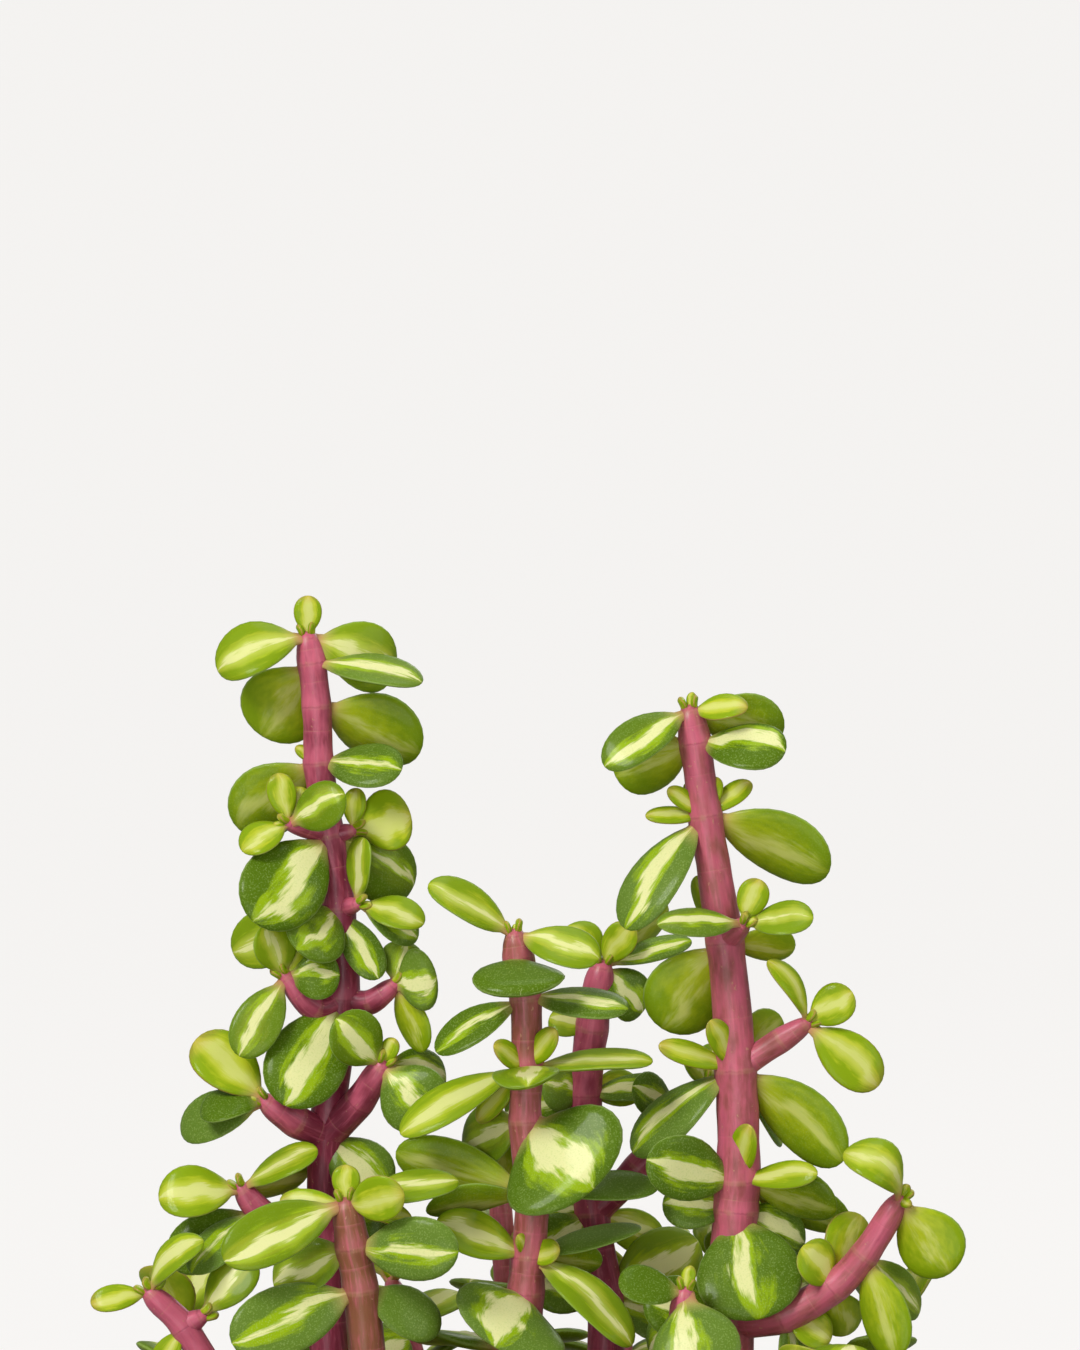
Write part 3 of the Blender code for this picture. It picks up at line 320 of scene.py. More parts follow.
# Their leaves: length, width as a share of it, rise at foot and tip in degrees, and how far each of these and
# the heading, the age and the arch are spread.
LOW_LEAF_LENGTH = 16.0
LOW_LEAF_SHAPE = 0.8
LOW_LEAF_RISE = (-15.0, 45.0)
LENGTH_SPREAD, WIDTH_SPREAD, ARCH_SPREAD = (0.88, 1.1), (0.85, 1.08), (8, 26)
HEADING_SPREAD, RISE_SPREAD, AGE_SPREAD = (-14, 14), (-12, 12), (-0.15, 0.15)

# Heights up to the collar are real ones, because the stem stands upright in its hole there.
COLLAR = 84.0

# Where a leaf's rings are set out, as shares of its length.
LEAF_STATIONS = (0.0, 0.14, 0.32, 0.57, 0.82, 0.96, 1.0)
SMALL_STATIONS = (0.0, 0.3, 0.62, 0.93, 1.0)
LOW_STATIONS = (0.0, 0.16, 0.58, 0.93, 1.0)
OUTER_STATIONS = (FREE_FROM, FREE_FROM, 0.57, 0.82, 0.96, 1.0)

# What is tried for a crowded leaf: a smaller size, and moves of its tip as shares of its length.
TRIED_SIZES = (1.0, 0.85, 0.7)
TRIED_ASIDE = ((0, 0), (0, 0.15), (0, -0.15), (0.15, 0), (-0.15, 0), (0.15, 0.25), (-0.15, -0.25))
TRIED_DEPTHS = (0, 0.15, -0.15, 0.3, -0.3, 0.45, -0.45, 0.6, -0.6, 0.8, -0.8)


def pot_radius(height):
    """The pot's outer radius below its rim."""
    share = height / POT_HEIGHT
    return POT_FOOT_RADIUS + (POT_TOP_RADIUS - RIM_STEP - POT_FOOT_RADIUS) * share


def inside_radius(height):
    """The radius of the pot's hollow at this height."""
    low = pot_radius(POT_FLOOR) - POT_WALL
    high = pot_radius(POT_HEIGHT) - POT_WALL + RIM_FLARE
    return low + (high - low) * (height - POT_FLOOR) / (POT_HEIGHT - EDGE_ROUND - POT_FLOOR)


def seen_point(x, z, towards):
    """The real point that is seen at x and z on the pot's plane, and stands this far to the front of it."""
    return EYE + (Vector((x, 0.0, z)) - EYE) * (1 + towards / EYE.y)


def path_points(path):
    """The real points of a path, upright up to the collar."""
    points = []
    for x, z, towards in path:
        point = seen_point(x, z, towards)
        if z <= COLLAR:
            point.z = z
        points.append(point)
    return points


def lengths_along(points):
    """How far along their path each of the points lies."""
    lengths = [0.0]
    for start, end in zip(points, points[1:]):
        lengths.append(lengths[-1] + (end - start).length)
    return lengths


def with_radii(points, diameters):
    """The joints with their radii, and a waist midway between two joints that stand well apart."""
    lengths = lengths_along(points)
    first, last = diameters

    def radius(length, factor):
        return (first + (last - first) * (length / lengths[-1])) / 2 * factor

    axis = []
    for index, point in enumerate(points):
        length = lengths[index]
        axis.append((point, radius(length, JOINT_SWELL)))
        following = lengths[min(index + 1, len(points) - 1)]
        if following - length > LONG_STRETCH and point.z > STEM_FOOT:
            middle = (point + points[index + 1]) / 2
            axis.append((middle, radius((length + following) / 2, WAIST)))
    end, end_radius = axis[-1]
    axis.append((end + (end - points[-2]).normalized() * TIP_CAP, end_radius * CAP_WIDTH))
    return axis


def leaf_normal(root, tip, turn):
    """The way the upper face looks: up, then turned to the front or, if negative, to the back."""
    along = (tip - root).normalized()
    front = Vector((0.0, -1.0, 0.0))
    front -= along * along.dot(front)
    up = Vector((0.0, 0.0, 1.0))
    up -= along * along.dot(up)
    if up.length < 0.1:
        return front.normalized()
    angle = up.angle(front)
    sense = 1 if along.dot(up.cross(front)) > 0 else -1
    swing = angle * turn / 90 if turn >= 0 else (math.pi - angle) * turn / 90
    return (Matrix.Rotation(sense * swing, 3, along) @ up).normalized()


def outline(along):
    """Half the blade's width, as a share: a stalk, a wedge to the widest place, then a broad round tip."""
    if along > WIDEST:
        return max(0.0, 1 - ((along - WIDEST) / (1 - WIDEST)) ** TIP_ROUND) ** 0.5
    share = min(1.0, (WIDEST - along) / (WIDEST - STALK))
    return (1 - share**2) ** WEDGE


def fleshiness(along):
    """The blade's thickness, as a share: full in the middle, thinner at the stalk and the tip."""
    return min(1.0, END_FLESH + outline(along) / 2)


def half_thickness(leaf):
    return min(LEAF_THICK, max(LEAF_THIN, leaf["width"] * LEAF_THICKNESS)) / 2


def arch_height(length, arch):
    """How far the middle of an arched leaf stands off the line from its root to its tip."""
    return length * math.tan(math.radians(arch) / 2) / 4


def make_leaf(root, tip, width, turn, arch, age, low=False):
    return {"root": root, "tip": tip, "width": width, "turn": turn, "arch": arch, "age": age, "low": low,
            "normal": leaf_normal(root, tip, turn)}


def leaf_rings(leaf, stations, extra):
    """Rings of four points round the leaf at these shares of its length: side, top, side, underside."""
    axis = leaf["tip"] - leaf["root"]
    normal = leaf["normal"]
    side = axis.cross(normal).normalized()
    bulge = arch_height(axis.length, leaf["arch"])
    thick = half_thickness(leaf)
    rings = []
    for along in stations:
        middle = leaf["root"] + axis * along + normal * (bulge * 4 * along * (1 - along))
        half = max(min(NECK, leaf["width"] / 4), leaf["width"] / 2 * outline(along)) + extra
        deep = max(min(THIN_END, thick), thick * fleshiness(along)) + extra
        wide, high = side * half, normal * deep
        rings.append([middle + wide, middle + high, middle - wide, middle - high])
    return rings


def tube_faces(count):
    """The triangles between rings of four points, with both ends closed by one point each."""
    faces = []
    for ring in range(count - 1):
        for corner in range(4):
            a = ring * 4 + corner
            b = ring * 4 + (corner + 1) % 4
            faces += [(a, b, b + 4), (a, b + 4, a + 4)]
    start, end = count * 4, count * 4 + 1
    for corner in range(4):
        beyond = (corner + 1) % 4
        faces.append((start, beyond, corner))
        faces.append((end, (count - 1) * 4 + corner, (count - 1) * 4 + beyond))
    return faces


def leaf_surface(leaf, stations, extra):
    """The points and triangles of a closed leaf, or of its outer part."""
    rings = leaf_rings(leaf, stations[1:-1], extra)
    axis = leaf["tip"] - leaf["root"]
    first = leaf["root"] - axis.normalized() * ROOT_SINK
    if stations[0] > 0:
        first = sum(rings[0], Vector()) / 4
    last = leaf["root"] + axis + axis.normalized() * extra
    return [point for ring in rings for point in ring] + [first, last], tube_faces(len(rings))


def stations_of(leaf):
    if leaf["width"] < SMALL_LEAF:
        return SMALL_STATIONS
    return LOW_STATIONS if leaf["low"] else LEAF_STATIONS


def tree_of(points, faces):
    """A search tree that finds where two surfaces cut through each other."""
    return BVHTree.FromPolygons([tuple(point) for point in points], faces)


def axis_surface(axis, extra):
    """A square tube round a stem, which is enough to keep leaves off it."""
    points = []
    for index, (middle, radius) in enumerate(axis):
        before = axis[max(0, index - 1)][0]
        after = axis[min(len(axis) - 1, index + 1)][0]
        along = (after - before).normalized()
        side = along.cross(Vector((0.0, 1.0, 0.03))).normalized()
        other = along.cross(side)
        side *= radius * STEM_BERTH + extra
        other *= radius * STEM_BERTH + extra
        points += [middle + side, middle + other, middle - side, middle - other]
    points += [axis[0][0], axis[-1][0] + (axis[-1][0] - axis[-2][0]).normalized() * extra]
    return points, tube_faces(len(axis))


def offsets():
    """Moves to try for a crowded leaf's tip: in depth first, then up and aside."""
    for aside, lift in TRIED_ASIDE:
        for depth in TRIED_DEPTHS:
            yield Vector((aside, depth, lift))


def near_pot(point):
    """Whether a point is too near the soil or the pot's rim."""
    over_wall = point.xy.length > inside_radius(SOIL_TOP) - RIM_INWARD
    return point.z < (POT_HEIGHT + OVER_RIM if over_wall else SOIL_TOP + OVER_SOIL)


class Bush:
    """Every stem and leaf, with what is needed to keep them off each other."""

    def __init__(self):
        self.stems = {}
        self.axes = []
        self.leaves = []

    def add_axis(self, name, joints, diameters):
        """A stem or side branch, given by its joints and its diameters at foot and tip."""
        stem = self.stems.setdefault(name, {"axes": [], "leaves": []})
        stem["axes"].append({"joints": joints, "diameters": diameters})
        axis = with_radii(joints, diameters)
        self.axes.append((name, axis, tree_of(*axis_surface(axis, CLEARANCE / 2))))
        return axis

    def is_free(self, name, axis, leaf):
        """The search trees of the whole leaf and its outer part, or None where it would touch something."""
        points, faces = leaf_surface(leaf, stations_of(leaf), CLEARANCE / 2)
        if any(near_pot(point) for point in points[4:-2]):
            return None
        whole = tree_of(points, faces)
        outer = tree_of(*leaf_surface(leaf, OUTER_STATIONS, CLEARANCE / 2))
        for other_name, other_axis, tree in self.axes:
            mine = outer if other_name == name else whole
            if other_axis is not axis and mine.overlap(tree):
                return None
        middle, reach = (leaf["root"] + leaf["tip"]) / 2, (leaf["tip"] - leaf["root"]).length
        for other_name, other, other_whole, other_outer in self.leaves:
            apart = ((other["root"] + other["tip"]) / 2 - middle).length
            if apart > (reach + (other["tip"] - other["root"]).length) * 0.75:
                continue
            pair = (outer, other_outer) if other_name == name else (whole, other_whole)
            if pair[0].overlap(pair[1]):
                return None
        return whole, outer

    def add_leaf(self, name, axis, leaf):
        """Adds the leaf where it is asked for, or bent clear of what stands there, or a little smaller."""
        rest = (leaf["turn"], leaf["arch"], leaf["age"], leaf["low"])
        for size in TRIED_SIZES:
            span = (leaf["tip"] - leaf["root"]) * size
            for offset in offsets():
                tip = leaf["root"] + span + offset * span.length
                tried = make_leaf(leaf["root"], tip, leaf["width"] * size, *rest)
                trees = self.is_free(name, axis, tried)
                if trees:
                    self.leaves.append((name, tried, *trees))
                    self.stems[name]["leaves"].append(tried)
                    return


def seen_leaves(bush, name, points, path, axis, rows):
    """Adds a path's leaves, which are given as they look from the front."""
    for joint, leaves in rows.items():
        x, z, near = path[joint]
        for along_x, along_z, nearer, width, turn, arch, age in leaves:
            tip = seen_point(x + along_x, z + along_z, near + nearer)
            bush.add_leaf(name, axis, make_leaf(points[joint], tip, width * LEAF_FULLNESS, turn, arch, age))


def set_out_stems(bush):
    """Adds the stems and side branches that the front shows, and gives back what their leaves need."""
    todo = []
    for name, stem in STEMS.items():
        arms = [{**arm, "path": [stem["path"][arm["from"]]] + arm["path"]} for arm in stem.get("arms", [])]
        for row in [stem] + arms:
            points = path_points(row["path"])
            axis = bush.add_axis(name, points, row["diameters"])
            todo.append((name, points, row["path"], axis, row["leaves"]))
    return todo


def low_points(foot, tip):
    """The joints of a low stem: upright to the collar, then a curve out to its tip."""
    start = Vector((foot[0], -foot[1], STEM_FOOT))
    collar = Vector((foot[0], -foot[1], POT_HEIGHT))
    end = Vector((tip[0], -tip[2], tip[1]))
    count = max(2, round((end - collar).length / LOW_JOINT_STEP))
    points = [start, collar]
    for step in range(1, count + 1):
        share = step / count
        point = collar.lerp(end, share)
        point += (Vector((foot[0], -foot[1], point.z)) - point) * LOW_BOW * (1 - share)
        points.append(point)
    return points


def low_leaves(bush, name, points, axis, heading, draw):
    """Adds opposite pairs, each turned a quarter from the pair below, young and steep at the tip."""
    for joint in range(2, len(points)):
        share = (joint - 1) / (len(points) - 2)
        for half_turn in (0, 180):
            angle = math.radians(heading + 90 * joint + half_turn + draw.uniform(*HEADING_SPREAD))
            steep = LOW_LEAF_RISE[0] + (LOW_LEAF_RISE[1] - LOW_LEAF_RISE[0]) * share
            rise = math.radians(steep + draw.uniform(*RISE_SPREAD))
            length = LOW_LEAF_LENGTH * (1.05 - 0.3 * share) * draw.uniform(*LENGTH_SPREAD)
            flat = math.cos(rise)
            along = Vector((math.cos(angle) * flat, math.sin(angle) * flat, math.sin(rise)))
            width = length * LOW_LEAF_SHAPE * draw.uniform(*WIDTH_SPREAD)
            age = min(0.95, max(0.1, 0.95 - 0.65 * share + draw.uniform(*AGE_SPREAD)))
            arch = draw.uniform(*ARCH_SPREAD)
            tip = points[joint] + along * length
            bush.add_leaf(name, axis, make_leaf(points[joint], tip, width, 0.0, arch, age, True))
    bud = points[-1] + (points[-1] - points[-2]).normalized() * LOW_BUD_LENGTH
    bush.add_leaf(name, axis, make_leaf(points[-1], bud, LOW_BUD_WIDTH, 30.0, 5.0, 0.05))


def set_out_bush():
    """The whole bush: every stem, then the leaves that the front shows, then those of the low stems."""
    bush = Bush()
    todo = set_out_stems(bush)
    low = []
    for name, (foot, tip, heading) in LOW_STEMS.items():
        points = low_points(foot, tip)
        low.append((name, points, bush.add_axis(name, points, LOW_DIAMETERS), heading))
    for seen in todo:
        seen_leaves(bush, *seen)
    draw = random.Random(SEED)
    for name, points, axis, heading in low:
        low_leaves(bush, name, points, axis, heading, draw)
    return bush


BUSH = set_out_bush()

# What counts as the same height, in metres and on the unit blade.
SAME_HEIGHT = 2e-4

# How finely the blade and the bark are cut, and where a stretch between joints and a tip's cap have rings.
BLADE_SIDES, BLADE_RINGS = 20, 16
BARK_SIDES = 16
RING_PLACES = (0.0, 0.05, 0.12, 0.22, 0.36, 0.5, 0.64, 0.78, 0.88, 0.95, 1.0)
CAP_RINGS = (0.6, 0.95)

# The ridge round a joint: its reach up and down the stem, its height as a share of the joint's swelling, and
# how much fuller the bark is all over.
RIDGE_REACH, RIDGE_HEIGHT, RIDGE_FILL = 1.7, 0.5, 0.03

# How far a tip narrows, over what length below it, and how lumpy the bark is.
TIP_NARROWING, TIP_REACH = 0.34, 3.0
BARK_LUMPS = 0.07

# How old the foot of a side branch looks, where the foot of a stem is 1.
BRANCH_AGE = 0.45

# The folded pair of small leaves over every tip. Their width is a share of the tip's, and they stand apart by
# a share of their width.
BUD_LENGTH = 2.8
BUD_WIDTH = 0.66
BUD_SPREAD = 0.22
BUD_APART = 0.22
BUD_SINK = 0.3
BUD_ARCH = 30.0

# The last part of a blade, over which it is rounded off, and the smooth stalk's width, as shares.
ROUNDED_PART = 0.2
SMOOTH_STALK = 0.22

# How blades of one kind differ: the spread of their cupping, the most they roll, in degrees, and the height
# of the wave along their sides, as a share of half their width.
CUP_SPREAD = (-0.4, 1.2)
MOST_ROLL = 12
SIDE_WAVE = 0.05

# How far a blade's age strays from its row's, and the most that it gets there unless the row says 1.
AGE_STRAY, MOST_AGE = 0.06, 0.88

# How near to the middle of a stem's foot a grain of grit may lie.
GRIT_OFF_STEMS = 3.6

# How dark and how brown each stem's bark is, from 0 to 1, and what the low stems have.
BARK_LOOKS = {
    "left_tall": (1.0, 0.10),
    "left_front": (0.20, 0.90),
    "left_low": (0.25, 0.0),
    "centre": (0.30, 0.62),
    "centre_back": (0.9, 0.10),
    "right_tall": (0.20, 0.38),
    "right_front": (0.15, 0.02),
}
LOW_BARK_LOOK = (0.45, 0.35)

# The small colours at a blade's rim, stalk, root and tip and of its dots, and those of the grit, with the
# grit's painted shade.
RIM_PINK, RIM_PALE = (0.50, 0.17, 0.10), (0.30, 0.42, 0.10)
STALK_TAN, ROOT_PINK = (0.52, 0.42, 0.13), (0.50, 0.17, 0.12)
TIP_BLUSH, DOT_PALE = (0.46, 0.20, 0.09), (0.38, 0.50, 0.14)
GRIT_DARK, GRIT_BROWN = (0.05, 0.033, 0.022), (0.16, 0.11, 0.075)
GRIT_PALE, GRIT_PAINTED_SHADE = (0.42, 0.37, 0.30), (0.06, 0.045, 0.035)

# The stage, in metres: a round floor that curves up into an upright wall, and the lamps over it, each with
# its place, width and power.
FLOOR_RADIUS = 2.2
COVE_RADIUS = 0.9
COVE_STEPS = 12
WALL_HEIGHT = 1.6
GLOW_REACH = (0.25, 0.80)
LAMPS = {
    "key": ((-0.75, -0.95, 1.15), 0.6, 18.0),
    "fill": ((1.1, -0.75, 0.75), 0.9, 4.5),
    "over": ((0.1, 0.15, 1.4), 0.8, 4.0),
    "back": ((0.5, 1.3, 0.9), 0.8, 4.5),
    "bounce": ((-0.15, -0.80, 0.05), 0.6, 2.6),
}
LAMP_AIM = Vector((0.0, 0.0, 0.15))
AIR_COLOUR, AIR_STRENGTH = (1.0, 0.99, 0.98, 1.0), 0.30
SENSOR_WIDTH = 36.0


def colour_setting(name, description, default):
    return bpy.props.FloatVectorProperty(
        name=name, description=description, default=default, size=3, subtype="COLOR"
    )


def length_setting(name, description, default):
    return bpy.props.FloatProperty(name=name, description=description, default=default, unit="LENGTH")


def share_setting(name, description, default):
    return bpy.props.FloatProperty(
        name=name, description=description, default=default, min=0, subtype="FACTOR"
    )


class PotSettings(bpy.types.PropertyGroup):
    """The pot's colour and finish."""

    clay: colour_setting("Clay", "The pot's colour", (0.56, 0.52, 0.465))
    edge_round: length_setting("Edge round", "How far the rim's edges are rounded", EDGE_ROUND * MM)


class SoilSettings(bpy.types.PropertyGroup):
    """The soil's colour and grains."""

    earth: colour_setting("Earth", "The soil's darker colour", (0.045, 0.03, 0.02))
    grain_count: bpy.props.IntProperty(
        name="Grains", description="How many grains of grit lie on the soil", default=900, min=0
    )
    grain_size: length_setting("Grain size", "The usual length of a grain", 0.0024)


class StemSettings(bpy.types.PropertyGroup):
    """The stems' colours."""

    young: colour_setting("Young bark", "The pink of a young stem", (0.51, 0.100, 0.158))
    dark: colour_setting("Dark bark", "The deep wine red of a dark stem", (0.215, 0.022, 0.050))
    brown: colour_setting("Brown bark", "The brownish pink of an old stem", (0.235, 0.088, 0.038))
    scar: colour_setting("Scar", "The tan of the scars and the edge of a joint", (0.50, 0.27, 0.15))


class LeafSettings(bpy.types.PropertyGroup):
    """The blades' colours and cupping."""

    margin: colour_setting("Margin", "The deep green of an old blade's margin", (0.074, 0.142, 0.003))
    margin_grey: colour_setting("Grey margin", "The bloomed green of some margins", (0.106, 0.184, 0.020))
    lime: colour_setting("Lime", "The bright green beside the cream", (0.255, 0.385, 0.004))
    cream: colour_setting("Cream", "The stripe along the middle", (0.69, 0.69, 0.32))
    young_cream: colour_setting("Young cream", "The soft pale middle of a young blade", (0.60, 0.62, 0.19))
    under: colour_setting("Underside", "The deeper green underneath", (0.125, 0.210, 0.003))
    under_pale: colour_setting("Pale underside", "The yellower green near the root", (0.310, 0.400, 0.004))
    young: colour_setting("Young blade", "The yellow-green of a young blade", (0.450, 0.500, 0.020))
    young_side: colour_setting("Young side", "The green of a young blade's sides", (0.220, 0.330, 0.004))
    cupping: share_setting("Cupping", "How far a blade's sides lift, as a share of half its width", 0.10)


class StageSettings(bpy.types.PropertyGroup):
    """The pale stage and the camera."""

    paper: colour_setting("Paper", "The colour of the floor and backdrop", (1.0, 0.984, 0.966))
    near_glow: share_setting("Glow near the pot", "The floor's own light where the pot's shadow falls", 0.54)
    far_glow: share_setting("Glow far off", "The own light of the far floor and the backdrop", 0.89)
    near_shade: share_setting("Shade near the pot", "How well the floor takes light near the pot", 0.40)
    far_shade: share_setting("Shade far off", "How well the backdrop takes light", 0.04)
    field_height: length_setting("Field height", "The height seen at the pot's axis", 0.2025)


GROUPS = {
    "pot": PotSettings,
    "soil": SoilSettings,
    "stems": StemSettings,
    "leaves": LeafSettings,
    "stage": StageSettings,
}


def settings(name):
    return getattr(bpy.context.scene, f"bush_{name}")


# Modelling helpers.


def deselect_all():
    for found in bpy.context.selected_objects:
        found.select_set(False)


def take(*pieces):
    """Makes these the only objects selected, and the first of them the active one."""
    deselect_all()
    for piece in pieces:
        piece.select_set(True)
    bpy.context.view_layer.objects.active = pieces[0]


def rename(made, name):
    made.name = name
    made.data.name = name
    return made


def new_primitive(name, add, **options):
    """Adds a primitive by its operator, alone in the selection, and names it."""
    deselect_all()
    add(**options)
    return rename(bpy.context.active_object, name)


def settle(made):
    """Puts the object's place, turn and size into its mesh."""
    take(made)
    bpy.ops.object.transform_apply(location=True, rotation=True, scale=True)


@contextmanager
def edit_mode():
    """Edit mode on the active object, with all of it selected at first."""
    bpy.ops.object.mode_set(mode="EDIT")
    bpy.ops.mesh.select_all(action="SELECT")
    yield
    bpy.ops.object.mode_set(mode="OBJECT")


def select_vertices(made, wanted):
    """In edit mode, selects the vertices for which wanted(place) holds, and nothing else."""
    bpy.ops.mesh.select_mode(type="VERT")
    shape = bmesh.from_edit_mesh(made.data)
    for found in (*shape.faces, *shape.edges, *shape.verts):
        found.select_set(False)
    for vertex in shape.verts:
        if wanted(vertex.co):
            vertex.select_set(True)
    shape.select_flush(True)
    bmesh.update_edit_mesh(made.data)


def resize_round(centre, x, y, z):
    bpy.ops.transform.resize(value=(x, y, z), center_override=centre)


def raise_rings(extrude, radius, rings):
    """Extrudes the selected ring, of this radius, through the rings above it, given by radius and height."""
    height = 0.0
    for next_radius, next_height in rings:
        extrude(TRANSFORM_OT_translate={"value": (0, 0, next_height - height)})
        size = next_radius / radius
        resize_round((0, 0, next_height), size, size, 1)
        radius, height = next_radius, next_height


def turn_faces_out(made):
    take(made)
    with edit_mode():
        bpy.ops.mesh.normals_make_consistent(inside=False)


def apply_modifier(made, kind, **options):
    """Adds a modifier with these options and applies it."""
    take(made)
    added = made.modifiers.new(kind.lower(), kind)
    for key, value in options.items():
        setattr(added, key, value)
    bpy.ops.object.modifier_apply(modifier=added.name)


def join(name, parts):
    """Joins the parts into one object of this name."""
    take(*parts)
    bpy.ops.object.join()
    return rename(parts[0], name)


def copy_of(made, name):
    """A copy with its own mesh, in the scene."""
    copy = made.copy()
    copy.data = made.data.copy()
    copy.name = name
    bpy.context.scene.collection.objects.link(copy)
    return copy


def discard(made):
    bpy.data.objects.remove(made, do_unlink=True)


def places_of(mesh):
    """The places of the mesh's vertices, one row each."""
    found = np.empty(len(mesh.vertices) * 3)
    mesh.vertices.foreach_get("co", found)
    return found.reshape(-1, 3)


def set_places(mesh, places):
    mesh.vertices.foreach_set("co", places.reshape(-1))


def add_numbers(mesh, **given):
    """Attributes by their names: a number or a vector for each vertex, or one number for all of them."""
    for name, values in given.items():
        if np.isscalar(values):
            values = np.full(len(mesh.vertices), values)
        values = np.asarray(values, dtype=np.float32)
        kind, key = ("FLOAT_VECTOR", "vector") if values.ndim == 2 else ("FLOAT", "value")
        mesh.attributes.new(name, kind, "POINT").data.foreach_set(key, values.reshape(-1))


def finish_piece(made, node):
    """The piece rides on the one body and stands for its solid, which is hidden."""
    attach(made, "root")
    if node:
        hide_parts(node)


# Material helpers.


class Value:
    """A value in a material. Plain arithmetic on it adds a node and gives back that node's value."""

    def __init__(self, shader, socket):
        self.shader = shader
        self.socket = socket

    def __add__(self, other):
        return self.shader.math("ADD", self, other)

    def __sub__(self, other):
        return self.shader.math("SUBTRACT", self, other)

    def __rsub__(self, other):
        return self.shader.math("SUBTRACT", other, self)

    def __mul__(self, other):
        return self.shader.math("MULTIPLY", self, other)

    def __pow__(self, other):
        return self.shader.math("POWER", self, other)

    def __abs__(self):
        return self.shader.math("ABSOLUTE", self)


class Shader:
    """A material's nodes, added and joined up by short calls."""

    def __init__(self, name):
        self.material = bpy.data.materials.new(name)
        self.material.use_nodes = True
        self.tree = self.material.node_tree

    def put(self, socket, value):
        """Sets a socket to a number or colour, or links a value to it."""
        if isinstance(value, Value):
            self.tree.links.new(value.socket, socket)
        elif socket.type == "RGBA":
            socket.default_value = (*value, 1.0)
        else:
            socket.default_value = value

    def node(self, kind, given, output=0, **options):
        """Adds a node with these options and inputs, by name or number, and gives back one of its outputs."""
        made = self.tree.nodes.new(kind)
        for key, option in options.items():
            setattr(made, key, option)
        for key, value in given.items():
            self.put(made.inputs[key], value)
        return Value(self, made.outputs[output])

    def attribute(self, name, output="Fac"):
        return self.node("ShaderNodeAttribute", {}, output, attribute_name=name)

    def object_place(self):
        return self.node("ShaderNodeTexCoord", {}, "Object")

    def math(self, operation, *values):
        return self.node("ShaderNodeMath", dict(enumerate(values)), operation=operation)

    def between(self, value, low, high):
        """A smooth step from 0 at low to 1 at high."""
        given = {"Value": value, "From Min": low, "From Max": high, "To Min": 0.0, "To Max": 1.0}
        return self.node("ShaderNodeMapRange", given, interpolation_type="SMOOTHSTEP")

    def mix(self, share, first, second):
        """A colour between the two by the share. The node's colours are its sockets 6 and 7, mixed in 2."""
        return self.node("ShaderNodeMix", {0: share, 6: first, 7: second}, 2, data_type="RGBA")

    def vector(self, x, y, z):
        return self.node("ShaderNodeCombineXYZ", {0: x, 1: y, 2: z})

    def parts(self, vector):
        """The vector's x, y and z."""
        split = self.node("ShaderNodeSeparateXYZ", {0: vector}).socket.node
        return [Value(self, socket) for socket in split.outputs]

    def stretch(self, vector, level, upright):
        """The vector with its x and y scaled by one number and its z by another."""
        return self.node("ShaderNodeMapping", {"Vector": vector, "Scale": (level, level, upright)})

    def noise(self, vector, scale, detail=2.0, roughness=0.5):
        given = {"Vector": vector, "Scale": scale, "Detail": detail, "Roughness": roughness}
        return self.node("ShaderNodeTexNoise", given)

    def bump(self, height, strength, distance):
        return self.node("ShaderNodeBump", {"Height": height, "Strength": strength, "Distance": distance})

    def dress(self, looks):
        """Gives the surface its values by the names of its inputs, and gives back the material."""
        surface = self.tree.nodes["Principled BSDF"]
        for name, value in looks.items():
            self.put(surface.inputs[name], value)
        return self.material


def shade(colour, factor):
    """The colour, darkened or lightened by this factor."""
    return [part * factor for part in colour]


# Materials.


def blade_skin(made):
    """What a blade's colours are read from: its own places, its age and draws, and streaks along it."""
    across, along, upper = made.parts(made.attribute("blade", "Vector"))
    age, draw, other_draw = (made.attribute(name) for name in ("age", "draw", "other_draw"))
    shift, other_shift = draw * 37.0, other_draw * 53.0

    def streaks(narrow, detail, first_shift, last_shift):
        place = made.vector(across * narrow + first_shift, along * 1.8, last_shift)
        return made.noise(place, 1.0, detail, 0.66)

    wander = made.noise(made.vector(shift, along * 1.7, other_shift), 1.0)
    middle = wander * 1.3 + (draw * 0.24 - 0.77)
    return SimpleNamespace(
        along=along,
        upper=upper,
        age=age,
        draw=draw,
        other_draw=other_draw,
        away=abs(across - middle),
        bell=made.between(along, 0.02, 0.35) * made.between(along, 1.04, 0.80),
        fingers=streaks(4.6, 5.0, shift, other_shift),
        wide_fingers=streaks(3.2, 4.0, other_shift, shift),
        mottle=made.noise(made.vector(across * 3.0 + shift, along * 4.0, 0.0), 2.2, 4.0),
    )


